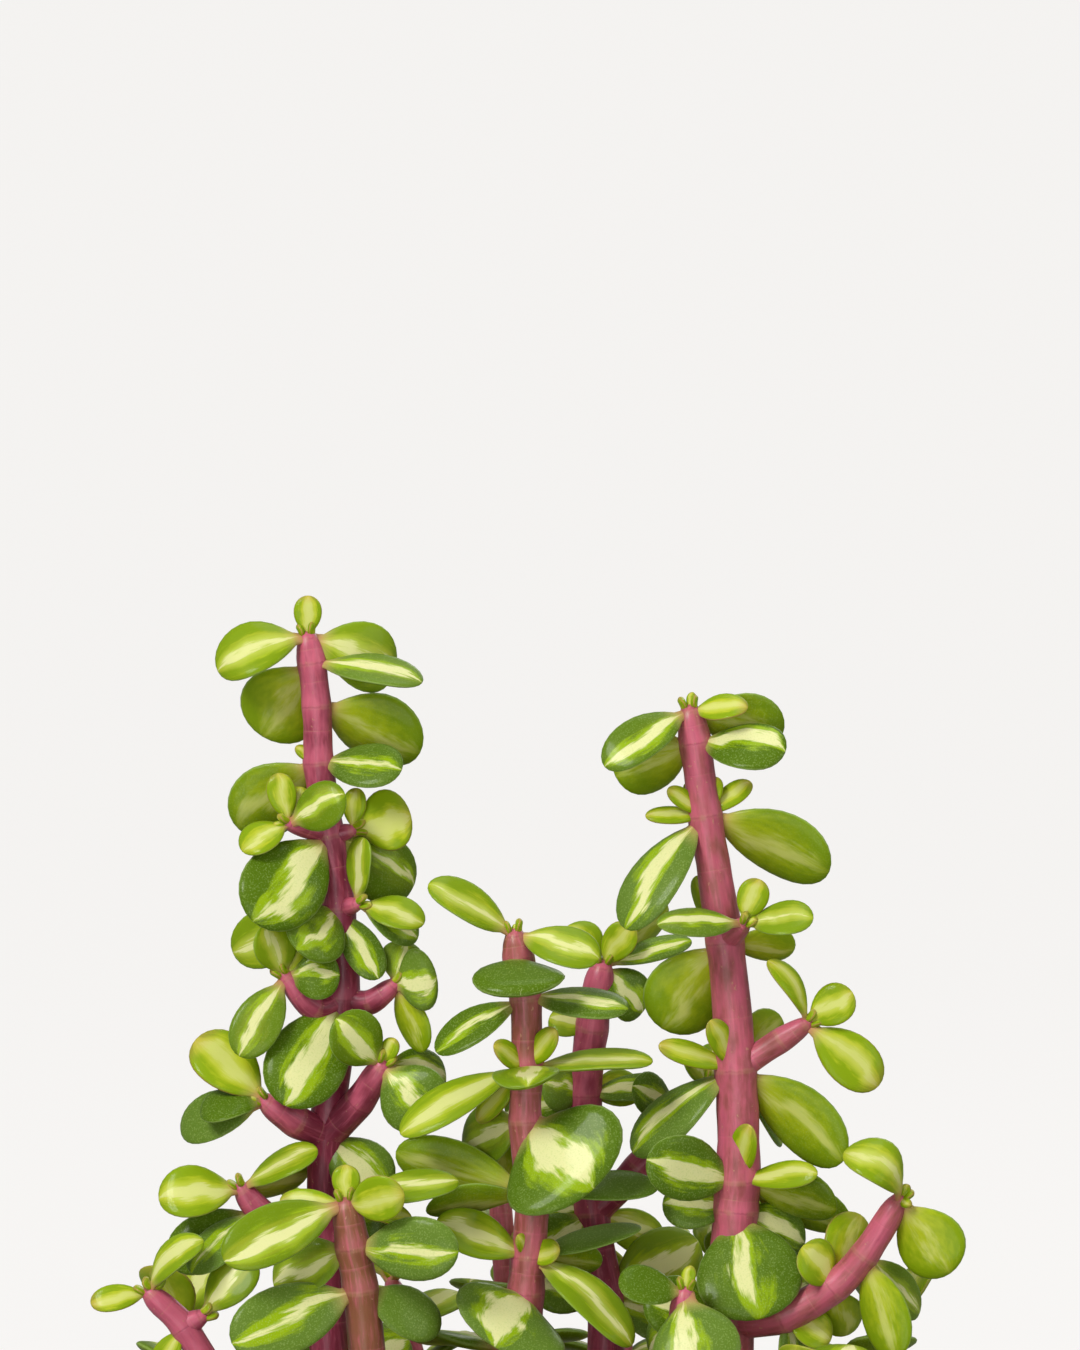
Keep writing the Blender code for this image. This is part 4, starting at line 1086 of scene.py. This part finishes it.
def leaf_top(made, skin, colours):
    """A deep or bloomed margin, a bright green, and the cream stripe, whose edges break into fingers."""
    age, away = skin.age, skin.away
    bloom = made.between(skin.draw + (skin.mottle * 0.6 - 0.3), 0.2, 0.8)
    sideways = made.between(away + (skin.wide_fingers * 2.2 - 1.1), 0.05, 0.70)
    fresh = made.mix(sideways, colours.young, colours.young_side)
    old_margin = made.mix(bloom, colours.margin, colours.margin_grey)
    margin = made.mix(made.between(age, 0.15, 0.70), fresh, old_margin)
    lime = made.mix(made.between(age, 0.0, 0.6), colours.young, colours.lime)
    cream = made.mix(made.between(age, 0.05, 0.5), colours.young_cream, colours.cream)

    usual_width = skin.other_draw**0.8 * 0.25 + 0.08
    inside = (usual_width - made.between(age, 0.90, 0.97) * 0.45) * skin.bell - away
    lime_share = made.between(skin.wide_fingers * 1.5 + (inside - 0.54), -0.12, 0.20)
    cream_share = made.between(skin.fingers * 0.95 + (inside - 0.49), -0.07, 0.08)
    soft_share = made.between(away, 0.55, 0.0) * skin.bell * (skin.wide_fingers * 0.9 + 0.05)
    striped = made.between(age, 0.12, 0.42) * 0.50 + 0.50

    top = made.mix(lime_share * (1.0 - made.between(age, 0.92, 0.99)), margin, lime)
    top = made.mix(soft_share * made.between(age, 0.65, 0.20), top, colours.young_cream)
    return made.mix(cream_share * striped, top, cream)


def leaf_underside(made, skin, colours):
    """Plain: yellower at the root and the middle, deeper at the tip and sides, and a little mottled."""
    older = made.between(skin.age, 0.1, 0.8)
    pale = made.mix(older, colours.young, colours.under_pale)
    deep = made.mix(older, colours.young_side, colours.under)
    outward = skin.along * 0.6 + skin.away * 0.55 + (skin.mottle * 0.7 - 0.35)
    plain = made.mix(made.between(outward, 0.15, 0.95), pale, deep)
    plain = made.mix(made.between(skin.age, 0.9, 1.0) * 0.75, plain, colours.margin_grey)
    faint = made.between(skin.away + (skin.wide_fingers * -1.5 + 0.80), 0.42, 0.0)
    return made.mix(faint * skin.bell * 0.62, plain, colours.young_cream)


def leaf_ends(made, skin, colour):
    """A thin pale rim, pink on the youngest, a tan stalk, a pink root and a blush at a young tip."""
    age, along = skin.age, skin.along
    rim_colour = made.mix(made.between(age, 0.05, 0.35), RIM_PINK, RIM_PALE)
    colour = made.mix(made.between(abs(skin.upper), 0.30, 0.06) * 0.55, colour, rim_colour)
    colour = made.mix(made.between(along, 0.30, 0.12) * 0.55, colour, STALK_TAN)
    colour = made.mix(made.between(along, 0.20, 0.06) * 0.75, colour, ROOT_PINK)
    blush = made.between(along, 0.78, 1.0) * made.between(age, 0.30, 0.05)
    return made.mix(blush * 0.38, colour, TIP_BLUSH)


def leaf_material():
    """A waxy blade: striped on top, plain underneath, with fine pale dots all over."""
    colours = settings("leaves")
    made = Shader("leaf_blade")
    skin = blade_skin(made)
    top, underside = leaf_top(made, skin, colours), leaf_underside(made, skin, colours)
    colour = leaf_ends(made, skin, made.mix(made.between(skin.upper, -0.25, 0.05), underside, top))
    place = made.object_place()
    dots, wax = made.noise(place, 4000.0, 1.0), made.noise(place, 900.0)
    dotted = made.between(dots, 0.50, 0.72) * made.between(skin.age, 0.3, 0.7)
    return made.dress({
        "Base Color": made.mix(dotted * 0.24, colour, DOT_PALE),
        "Roughness": wax * 0.22 + 0.34,
        "Subsurface Weight": 0.10,
        "Subsurface Radius": (0.6, 1.0, 0.15),
        "Subsurface Scale": 0.0012,
        "Specular IOR Level": 0.13,
        "Specular Tint": (0.95, 1.0, 0.45),
        "Coat Weight": 0.12,
        "Coat Roughness": 0.12,
        "Normal": made.bump(wax + dots * 0.4, 0.22, 0.00012),
    })


def bark_material():
    """Fleshy bark: pink, wine red or brownish by its stem, with streaks, thin joint rings and small scars.
    The wine red low on a stem is partly its own colour with age and partly painted shade.
    """
    colours = settings("stems")
    made = Shader("stem_bark")
    grain = made.attribute("grain", "Vector")
    joint = made.attribute("joint")
    streaks = made.noise(made.stretch(grain, 1.0, 0.14), 2.0, 3.0)
    patches = made.noise(made.stretch(grain, 1.0, 0.5), 0.45, 3.0)
    uneven = patches * 1.5 - 0.75
    browned = made.between(made.attribute("brown") + uneven, 0.05, 0.95)
    colour = made.mix(browned, colours.young, colours.brown)
    # Deep wine red low on the stem: partly the older bark's own colour, partly painted shade on the lower
    # stem.
    wine = made.attribute("dark") * made.between(made.attribute("old"), -0.2, 0.4)
    colour = made.mix(made.between(wine + uneven, 0.10, 1.0), colour, colours.dark)
    lighter = [min(1.0, part * 1.3 + 0.012) for part in colours.young]
    colour = made.mix(made.between(streaks, 0.46, 0.76) * 0.40, colour, lighter)
    colour = made.mix(made.between(streaks, 0.46, 0.20) * 0.35, colour, colours.dark)

    # Just above a joint the bark is paler, and the joint itself is a thin dark line with a tan edge.
    above = made.between(joint, -0.1, 0.3) * made.between(joint, 3.2, 0.3)
    colour = made.mix(above * 0.20, colour, lighter)
    away = abs(streaks * 0.5 + (joint - 0.25))
    edge = made.between(away, 0.55, 0.2) * made.between(patches, 0.35, 0.6)
    colour = made.mix(edge * 0.24, colour, colours.scar)
    line = made.between(away, 0.22, 0.05) * made.between(patches, 0.60, 0.40)
    colour = made.mix(line * 0.28, colour, colours.dark)
    scars = made.between(made.noise(made.stretch(grain, 1.0, 0.75), 1.5), 0.68, 0.74)
    return made.dress({
        "Base Color": made.mix(scars * 0.55, colour, colours.scar),
        "Roughness": streaks * 0.25 + 0.30,
        "Specular IOR Level": 0.28,
        "Coat Weight": 0.14,
        "Coat Roughness": 0.22,
        "Subsurface Weight": 0.10,
        "Subsurface Radius": (1.0, 0.35, 0.25),
        "Subsurface Scale": 0.0012,
        "Normal": made.bump(line * -0.4 + (streaks + scars * 0.5), 0.28, 0.00022),
    })


def pot_material():
    """Matt fired clay with faint turning lines, soft blotches and tiny dark grains, and painted shade at its
    foot, where it stands on the floor.
    """
    clay = settings("pot").clay
    made = Shader("pot_clay")
    place = made.object_place()
    blotches, grains = made.noise(place, 34.0, 4.0), made.noise(place, 1500.0, 1.0)
    lines = made.noise(made.stretch(place, 2.0, 420.0), 1.0)
    # Painted shade: the clay darkens over its lowest 12 mm, where the pot stands on the floor.
    low = made.between(made.parts(place)[2], 0.012, 0.0)
    colour = made.mix(made.between(blotches, 0.35, 0.70) * 0.7, clay, shade(clay, 0.82))
    colour = made.mix(made.between(grains, 0.64, 0.74) * 0.45, colour, shade(clay, 0.45))
    return made.dress({
        "Base Color": made.mix(low * 0.4, colour, shade(clay, 0.6)),
        "Roughness": blotches * 0.2 + 0.5,
        "Normal": made.bump(lines * 0.6 + grains * 0.4, 0.40, 0.0003),
    })


def soil_material():
    """Crumbly dark soil."""
    earth = settings("soil").earth
    made = Shader("soil_crumb")
    crumbs = made.noise(made.object_place(), 420.0, 5.0, 0.65)
    return made.dress({
        "Base Color": made.mix(made.between(crumbs, 0.4, 0.68), earth, shade(earth, 2.6)),
        "Roughness": 0.95,
        "Normal": made.bump(crumbs, 0.9, 0.0012),
    })


def grit_material():
    """Grains of grit in browns, greys and a few pale ones, by each grain's own draw, with patches of painted
    shade over them.
    """
    made = Shader("soil_grit")
    draw = made.attribute("draw")
    fine = made.noise(made.object_place(), 1400.0, 3.0)
    colour = made.mix(made.between(draw, 0.0, 0.6), GRIT_DARK, GRIT_BROWN)
    colour = made.mix(made.between(draw, 0.78, 0.86), colour, GRIT_PALE)
    return made.dress({
        # Painted shade: a dark colour laid over each grain in fine noise patches.
        "Base Color": made.mix(made.between(fine, 0.4, 0.7) * 0.4, colour, GRIT_PAINTED_SHADE),
        "Roughness": 0.9,
        "Normal": made.bump(fine, 0.6, 0.0003),
    })


def paper_material():
    """Paper that glows by itself, more so far off, so that the floor and the backdrop come out the same."""
    chosen = settings("stage")
    made = Shader("stage_paper")
    x, y, _ = made.parts(made.object_place())
    far = made.between(made.math("SQRT", x * x + y * y), *GLOW_REACH)
    near_paper, far_paper = shade(chosen.paper, chosen.near_shade), shade(chosen.paper, chosen.far_shade)
    return made.dress({
        "Base Color": made.mix(far, near_paper, far_paper),
        "Emission Color": chosen.paper,
        "Emission Strength": far * (chosen.far_glow - chosen.near_glow) + chosen.near_glow,
        "Roughness": 0.9,
        "Specular IOR Level": 0.1,
    })


# The blade is modelled once, and every copy is bent to its place.


def blade_depth(along):
    """Half the blade's thickness as a share: fleshy in the middle, rounded off at the tip."""
    past = max(0.0, (along - (1 - ROUNDED_PART)) / ROUNDED_PART)
    return fleshiness(along) * math.sqrt(max(0.0, 1 - past**2))


def blade_half(along):
    """Half the blade's width as a share, with a stalk that never thins to nothing."""
    stalk = SMOOTH_STALK * min(1.0, max(0.0, (1 - along) / ROUNDED_PART))
    return max(stalk, outline(along))


def model_blade():
    """One unit blade: a sphere with its poles at root and tip, each ring resized to the paddle's outline."""
    made = new_primitive(
        "blade", bpy.ops.mesh.primitive_uv_sphere_add, segments=BLADE_SIDES, ring_count=BLADE_RINGS,
        radius=1.0, location=(0, 0, 0), rotation=(math.radians(-90), 0, 0),
    )
    settle(made)
    rings = {}
    for vertex in made.data.vertices:
        rings.setdefault(round(vertex.co.y, 4), []).append(vertex.co.x)
    with edit_mode():
        for height in sorted(rings)[1:-1]:
            select_vertices(made, lambda place: abs(place.y - height) < SAME_HEIGHT)
            along, reach = (height + 1) / 2, max(rings[height])
            resize_round((0, height, 0), blade_half(along) / reach, 1.0, blade_depth(along) / reach)
    bpy.ops.object.shade_smooth()
    return made


def unit_blade(made):
    """The blade's own places: across, along from 0 to 1, and through, with the shares that the skin reads."""
    place = places_of(made.data)
    place[:, 1] = (place[:, 1] + 1) / 2
    half = np.array([max(SAME_HEIGHT, blade_half(along)) for along in place[:, 1]])
    deep = np.array([max(SAME_HEIGHT, blade_depth(along)) for along in place[:, 1]])
    skin = np.stack([place[:, 0] / half, place[:, 1], place[:, 2] / deep], axis=1)
    return place, np.clip(skin, -1, 1)


def bend_blade(leaf, place, draw):
    """Where the unit blade's vertices go for this leaf, in metres."""
    root, tip, normal = (np.array(leaf[key]) for key in ("root", "tip", "normal"))
    axis = tip - root
    length = np.linalg.norm(axis)
    forward = axis / length
    side = np.cross(forward, normal)
    bulge = arch_height(length, leaf["arch"])
    half = leaf["width"] / 2
    across, along, through = place.T
    cup = settings("leaves").cupping * half * (draw.uniform(*CUP_SPREAD) + (1 - leaf["age"]))
    roll = math.radians(draw.uniform(-MOST_ROLL, MOST_ROLL)) * along
    wave = half * SIDE_WAVE * np.sin(along * draw.uniform(4, 7) + draw.uniform(0, 6))
    wide = across * half
    high = through * half_thickness(leaf) + cup * across**2 + wave * across
    turned_wide = wide * np.cos(roll) - high * np.sin(roll)
    turned_high = wide * np.sin(roll) + high * np.cos(roll)
    slope = bulge * 4 * (1 - 2 * along) / length
    scale = 1 / np.sqrt(1 + slope**2)
    lift = np.outer(scale, normal) - np.outer(slope * scale, forward)
    middle = root + np.outer(along, axis) + np.outer(bulge * 4 * along * (1 - along), normal)
    return (middle + np.outer(turned_wide, side) + lift * turned_high[:, None]) * MM


def grow_leaves(name, leaves, blade, draw):
    """Every leaf of a stem: a copy of the blade, bent to its place, with its age and draws."""
    place, skin = unit_blade(blade)
    grown = []
    for leaf in leaves:
        copy = copy_of(blade, f"{name}_leaf")
        set_places(copy.data, bend_blade(leaf, place, draw))
        age = min(MOST_AGE, max(0.0, leaf["age"] + draw.uniform(-AGE_STRAY, AGE_STRAY)))
        age = 1.0 if leaf["age"] == 1 else age
        add_numbers(copy.data, blade=skin, age=age, draw=draw.random(), other_draw=draw.random())
        grown.append(copy)
    return grown


def tip_buds(axis):
    """The two smallest leaves, folded together over a tip."""
    end, before = axis["joints"][-1], axis["joints"][-2]
    ahead = (end - before).normalized()
    side = ahead.cross(Vector((0.0, 1.0, 0.2))).normalized()
    width = axis["diameters"][1] * BUD_WIDTH
    buds = []
    for hand in (-1, 1):
        root = end - ahead * BUD_SINK + side * hand * width * BUD_APART
        forward = (ahead + side * hand * BUD_SPREAD).normalized()
        normal = (ahead * BUD_SPREAD - side * hand).normalized()
        bud = {"root": root, "tip": root + forward * BUD_LENGTH, "normal": normal}
        buds.append({**bud, "width": width, "arch": BUD_ARCH, "age": 0.0})
    return buds


# The bark is a tube for each stem and side branch, whose rings follow the joints.


def smooth_path(points, places):
    """Points at these shares of every stretch, on a smooth curve through the joints."""
    found = []
    for index in range(len(points) - 1):
        start, end = points[index], points[index + 1]
        before = points[index - 1] if index else start - (end - start)
        after = points[index + 2] if index + 2 < len(points) else end + (end - start)
        reach = (end - start).length
        leave = (end - before).normalized() * reach
        arrive = (after - start).normalized() * reach
        for share in places[(1 if index else 0):]:
            square, cube = share**2, share**3
            found.append(
                start * (2 * cube - 3 * square + 1)
                + leave * (cube - 2 * square + share)
                + end * (3 * square - 2 * cube)
                + arrive * (cube - square)
            )
    return found


def ring_frames(centres):
    """At each ring's centre, two ways aside, square to the stem, that turn as little as they can."""
    forwards = [(centres[1] - centres[0]).normalized()]
    for index in range(1, len(centres)):
        ahead = centres[min(index + 1, len(centres) - 1)] - centres[index - 1]
        forwards.append(ahead.normalized())
    side = forwards[0].orthogonal().normalized()
    frames = []
    for forward in forwards:
        side = (side - forward * side.dot(forward)).normalized()
        frames.append((side, forward.cross(side)))
    return frames


def ring_size(length, joints, diameters):
    """The share of the stem at this length, its plain and its real radius, and how far off the joint is."""
    first, last = diameters
    share = min(1.0, length / joints[-1])
    radius = (first + (last - first) * share) / 2
    gap = min((length - joint for joint in joints), key=abs)
    swell = WAIST + (JOINT_SWELL - WAIST) * RIDGE_HEIGHT * math.exp(-((gap / RIDGE_REACH) ** 2)) + RIDGE_FILL
    past = max(0.0, (length - joints[-1]) / TIP_CAP)
    closing = math.sqrt(max(0.0, 1 - past**2))
    near_tip = max(0.0, 1 - max(0.0, joints[-1] - length) / TIP_REACH)
    closing *= 1 - TIP_NARROWING * near_tip**2
    return share, radius, radius * swell * closing, gap


def model_bark_tube(name, ring_count):
    """A unit tube on the upright axis, with its ends closed and cut into rings by bisecting."""
    made = new_primitive(
        name, bpy.ops.mesh.primitive_cylinder_add, vertices=BARK_SIDES, radius=1.0, depth=ring_count - 1,
        end_fill_type="TRIFAN", location=(0, 0, (ring_count - 1) / 2),
    )
    settle(made)
    with edit_mode():
        for height in range(1, ring_count - 1):
            bpy.ops.mesh.select_all(action="SELECT")
            bpy.ops.mesh.bisect(plane_co=(0, 0, height), plane_no=(0, 0, 1))
    bpy.ops.object.shade_smooth()
    return made


def grow_bark(name, axis, oldest, look, draw):
    """A stem or side branch: a tube whose rings follow the joints, swell at each and close at the tip."""
    centres = smooth_path(axis["joints"], RING_PLACES)
    ahead = (centres[-1] - centres[-2]).normalized()
    centres += [centres[-1] + ahead * TIP_CAP * share for share in CAP_RINGS]
    lengths = lengths_along(centres)
    stride = len(RING_PLACES) - 1
    joints = [lengths[index * stride] for index in range(len(axis["joints"]))]
    sizes = [ring_size(length, joints, axis["diameters"]) for length in lengths]
    frames = ring_frames(centres)
    shift = draw.uniform(0, 50)
    tube = model_bark_tube(name, len(centres))
    places, grain, old, from_joint = [], [], [], []
    for x, y, height in places_of(tube.data):
        step = round(height)
        share, radius, reach, gap = sizes[step]
        side, other = frames[step]
        lump = noise.noise(Vector((x * 1.3 + shift, y * 1.3, lengths[step] * 0.22)))
        places.append((centres[step] + (side * x + other * y) * (reach * (1 + BARK_LUMPS * lump))) * MM)
        grain.append((x * radius + shift, y * radius, lengths[step]))
        old.append((1 - share) * oldest)
        from_joint.append(gap)
    set_places(tube.data, np.array(places))
    dark, brown = look
    add_numbers(tube.data, grain=grain, old=old, joint=from_joint, dark=dark, brown=brown)
    turn_faces_out(tube)
    return tube


def grow_stem(name, stem, blade, leaf_skin, bark, draw):
    """A leafy stem in one piece: its bark, its side branches, its leaves and the buds over its tips."""
    look = BARK_LOOKS.get(name, LOW_BARK_LOOK)
    barks = []
    for axis in stem["axes"]:
        barks.append(grow_bark(f"{name}_bark", axis, BRANCH_AGE if barks else 1, look, draw))
    buds = [bud for axis in stem["axes"] for bud in tip_buds(axis)]
    leaves = grow_leaves(name, stem["leaves"] + buds, blade, draw)
    for piece in barks:
        piece.data.materials.append(bark)
    for piece in leaves:
        piece.data.materials.append(leaf_skin)
    made = join(f"{name}_grown", barks + leaves)
    settle(made)
    finish_piece(made, name)


# The pot and the soil.


def turned_pot():
    """The pot's wall, rim and hollow, extruded ring by ring from its foot."""
    shoulder = POT_HEIGHT - RIM_HEIGHT
    inner_top = pot_radius(POT_HEIGHT) - POT_WALL + RIM_FLARE
    rings = [
        (pot_radius(shoulder), shoulder),
        (POT_TOP_RADIUS, shoulder),
        (POT_TOP_RADIUS, POT_HEIGHT),
        (inner_top, POT_HEIGHT),
        (inner_top, POT_HEIGHT - EDGE_ROUND),
        (pot_radius(POT_FLOOR) - POT_WALL, POT_FLOOR),
    ]
    foot = POT_FOOT_RADIUS * MM
    made = new_primitive(
        "pot_turned", bpy.ops.mesh.primitive_circle_add, vertices=POT_SIDES, radius=foot, fill_type="NGON",
        location=(0, 0, 0),
    )
    with edit_mode():
        in_metres = [(radius * MM, height * MM) for radius, height in rings]
        raise_rings(bpy.ops.mesh.extrude_region_move, foot, in_metres)
    turn_faces_out(made)
    return made


def drain_drill():
    """What the drain holes are cut with."""
    drills = []
    for hole in range(DRAIN_HOLES):
        angle = 2 * math.pi * hole / DRAIN_HOLES
        place = (math.cos(angle) * DRAIN_CIRCLE * MM, math.sin(angle) * DRAIN_CIRCLE * MM, POT_FLOOR * MM / 2)
        drill = new_primitive(
            "drain_drill", bpy.ops.mesh.primitive_cylinder_add, vertices=32, radius=DRAIN_RADIUS * MM,
            depth=5 * POT_FLOOR * MM, location=place,
        )
        drills.append(drill)
    return join("drain_drill", drills)


def soil_height(share):
    """The soil's height at this share of its radius."""
    return SOIL_TOP - SOIL_DROP + SOIL_MOUND * (1 - share**2)


def crumbled_soil(edge):
    """A plug that narrows to the pot's floor, with its top cut into rings, mounded and crumbled."""
    low, top = POT_FLOOR + FIT_GAP, SOIL_TOP - SOIL_DROP
    made = new_primitive(
        "soil_bed", bpy.ops.mesh.primitive_cylinder_add, vertices=SOIL_SIDES, radius=edge * MM,
        depth=(top - low) * MM, location=(0, 0, (top + low) / 2 * MM),
    )
    settle(made)

    def on_top(place):
        return place.z > top * MM - SAME_HEIGHT

    with edit_mode():
        select_vertices(made, lambda place: not on_top(place))
        shrink = (inside_radius(low) - FIT_GAP) / edge
        resize_round((0, 0, low * MM), shrink, shrink, 1)
        select_vertices(made, on_top)
        for _ in range(SOIL_RINGS):
            bpy.ops.mesh.inset(thickness=edge * MM / (SOIL_RINGS + 1.5), depth=0.0)
    for vertex in made.data.vertices:
        if on_top(vertex.co):
            share = vertex.co.xy.length / (edge * MM)
            crumb = sum(noise.noise(vertex.co * pitch) * height for pitch, height in CRUMBS)
            vertex.co.z = soil_height(share) * MM + crumb * MM * (1 if share < 0.97 else 0.3)
    bpy.ops.object.shade_smooth()
    return made


def model_stone():
    """A chipped stone of about unit radius."""
    made = new_primitive("grain", bpy.ops.mesh.primitive_ico_sphere_add, subdivisions=1, radius=1.0)
    with edit_mode():
        bpy.ops.mesh.subdivide(number_cuts=1, smoothness=0.4, fractal=1.1, seed=3)
    return made


def scattered_grit(edge):
    """Grains on the soil, which are copies of one stone, kept off the stems."""
    chosen = settings("soil")
    stone = model_stone()
    unit = places_of(stone.data) / 1.2
    feet = [stem["axes"][0]["joints"][0].xy for stem in BUSH.stems.values()]
    draw = random.Random(SEED + 5)
    grains = []
    while len(grains) < chosen.grain_count:
        angle, reach = draw.uniform(0, 2 * math.pi), (edge - 2.0) * math.sqrt(draw.random())
        x, y = math.cos(angle) * reach, math.sin(angle) * reach
        if any((foot - Vector((x, y))).length < GRIT_OFF_STEMS for foot in feet):
            continue
        size = chosen.grain_size / 2 * draw.uniform(0.35, 1.15)
        turned = draw.uniform(0, 6)
        pole = Vector((draw.random(), draw.random(), 0.4)).normalized()
        turn = np.array(Matrix.Rotation(turned, 3, pole))
        stretch = np.array([draw.uniform(0.7, 1.2), draw.uniform(0.7, 1.1), draw.uniform(0.5, 0.8)])
        place = np.array([x * MM, y * MM, soil_height(reach / edge) * MM + size * 0.25])
        copy = copy_of(stone, "grain")
        set_places(copy.data, (unit * stretch) @ turn.T * size + place)
        add_numbers(copy.data, draw=draw.random())
        grains.append(copy)
    discard(stone)
    grit = join("soil_grains", grains)
    bpy.ops.object.shade_smooth_by_angle(angle=math.radians(35))
    return grit


# The stage.


def paper_backdrop():
    """The floor, the cove and the wall, extruded from one disc. Only the camera sees it."""
    made = new_primitive(
        "stage_backdrop", bpy.ops.mesh.primitive_circle_add, vertices=128, radius=FLOOR_RADIUS,
        fill_type="NGON",
    )
    rings = []
    for step in range(1, COVE_STEPS + 1):
        angle = math.pi / 2 * step / COVE_STEPS
        radius = FLOOR_RADIUS + math.sin(angle) * COVE_RADIUS
        rings.append((radius, (1 - math.cos(angle)) * COVE_RADIUS))
    rings.append((radius, COVE_RADIUS + WALL_HEIGHT))
    with edit_mode():
        raise_rings(bpy.ops.mesh.extrude_edges_move, FLOOR_RADIUS, rings)
    bpy.ops.object.shade_smooth()
    made.data.materials.append(paper_material())
    made.visible_diffuse = False
    made.visible_glossy = False
    return made


def add_aimed(name, data, place, aim):
    """A lamp or camera at this place, which looks at this aim."""
    made = bpy.data.objects.new(name, data)
    bpy.context.scene.collection.objects.link(made)
    made.location = place
    made.rotation_euler = (aim - Vector(place)).to_track_quat("-Z", "Y").to_euler()
    return made


def soft_light(name, place, size, power):
    lamp = bpy.data.lights.new(name, "AREA")
    lamp.shape, lamp.size, lamp.energy = "DISK", size, power
    light = add_aimed(name, lamp, place, LAMP_AIM)
    light.visible_camera = False
    return light


def pale_air(scene):
    """An even pale light from all sides, and plain colours in the render."""
    world = bpy.data.worlds.new("stage_air")
    scene.world = world
    world.use_nodes = True
    air = world.node_tree.nodes["Background"].inputs
    air["Color"].default_value, air["Strength"].default_value = AIR_COLOUR, AIR_STRENGTH
    scene.view_settings.view_transform, scene.view_settings.look = "Standard", "None"


def set_camera(scene):
    """The camera stands at the eye that the rows are read from."""
    data = bpy.data.cameras.new("camera")
    eye, aim = EYE * MM, PICTURE_MIDDLE * MM
    data.sensor_width = SENSOR_WIDTH
    data.lens = SENSOR_WIDTH * (aim - eye).length / settings("stage").field_height
    data.clip_start = 0.01
    scene.camera = add_aimed("camera", data, eye, aim)


class BUSH_OT_pot(bpy.types.Operator):
    """Model the pot by extruding its wall, rim and hollow up from its foot"""

    bl_idname = "bush.pot"
    bl_label = "Pot"

    def execute(self, context):
        made = turned_pot()
        drill = drain_drill()
        apply_modifier(made, "BOOLEAN", operation="DIFFERENCE", object=drill)
        discard(drill)
        width = settings("pot").edge_round
        angle = math.radians(40)
        apply_modifier(made, "BEVEL", width=width, segments=4, limit_method="ANGLE", angle_limit=angle)
        bpy.ops.object.shade_smooth_by_angle(angle=math.radians(30))
        settle(made)
        made.data.materials.append(pot_material())
        finish_piece(made, "pot")
        return {"FINISHED"}


class BUSH_OT_soil(bpy.types.Operator):
    """Model the soil as a mounded plug, and scatter grains of grit on it"""

    bl_idname = "bush.soil"
    bl_label = "Soil and grit"

    def execute(self, context):
        edge = inside_radius(SOIL_TOP) - FIT_GAP
        soil = crumbled_soil(edge)
        soil.data.materials.append(soil_material())
        finish_piece(soil, "soil")
        grit = scattered_grit(edge)
        grit.data.materials.append(grit_material())
        finish_piece(grit, None)
        return {"FINISHED"}


class BUSH_OT_stems(bpy.types.Operator):
    """Grow every leafy stem: its bark from joint to joint, and its leaves from one blade"""

    bl_idname = "bush.stems"
    bl_label = "Leafy stems"

    def execute(self, context):
        blade = model_blade()
        leaf_skin, bark = leaf_material(), bark_material()
        draw = random.Random(SEED + 9)
        for name, stem in BUSH.stems.items():
            grow_stem(name, stem, blade, leaf_skin, bark, draw)
        discard(blade)
        return {"FINISHED"}


class BUSH_OT_stage(bpy.types.Operator):
    """Set the pale floor and backdrop, the soft lights and the camera"""

    bl_idname = "bush.stage"
    bl_label = "Stage, lights and camera"

    def execute(self, context):
        backdrop = paper_backdrop()
        lights = [soft_light(f"stage_{name}", *lamp) for name, lamp in LAMPS.items()]
        pale_air(context.scene)
        set_camera(context.scene)
        return {"FINISHED"}


class BUSH_PT_panel(bpy.types.Panel):
    """The bush's steps and settings in the sidebar"""

    bl_label = "Elephant bush"
    bl_idname = "BUSH_PT_panel"
    bl_space_type = "VIEW_3D"
    bl_region_type = "UI"
    bl_category = "Bush"

    def draw(self, context):
        for step in STEPS:
            self.layout.operator(step.bl_idname)
        for name, group in GROUPS.items():
            box = self.layout.box()
            box.label(text=name.capitalize())
            for key in group.__annotations__:
                box.prop(settings(name), key)


STEPS = (BUSH_OT_pot, BUSH_OT_soil, BUSH_OT_stems, BUSH_OT_stage)
CLASSES = (*GROUPS.values(), *STEPS, BUSH_PT_panel)


def register():
    for made in CLASSES:
        bpy.utils.register_class(made)
    for name, group in GROUPS.items():
        setattr(bpy.types.Scene, f"bush_{name}", bpy.props.PointerProperty(type=group))


def unregister():
    for name in GROUPS:
        delattr(bpy.types.Scene, f"bush_{name}")
    for made in reversed(CLASSES):
        bpy.utils.unregister_class(made)


def main():
    register()
    bpy.ops.bush.pot()
    bpy.ops.bush.soil()
    bpy.ops.bush.stems()
    bpy.ops.bush.stage()


if __name__ == "__main__":
    main()
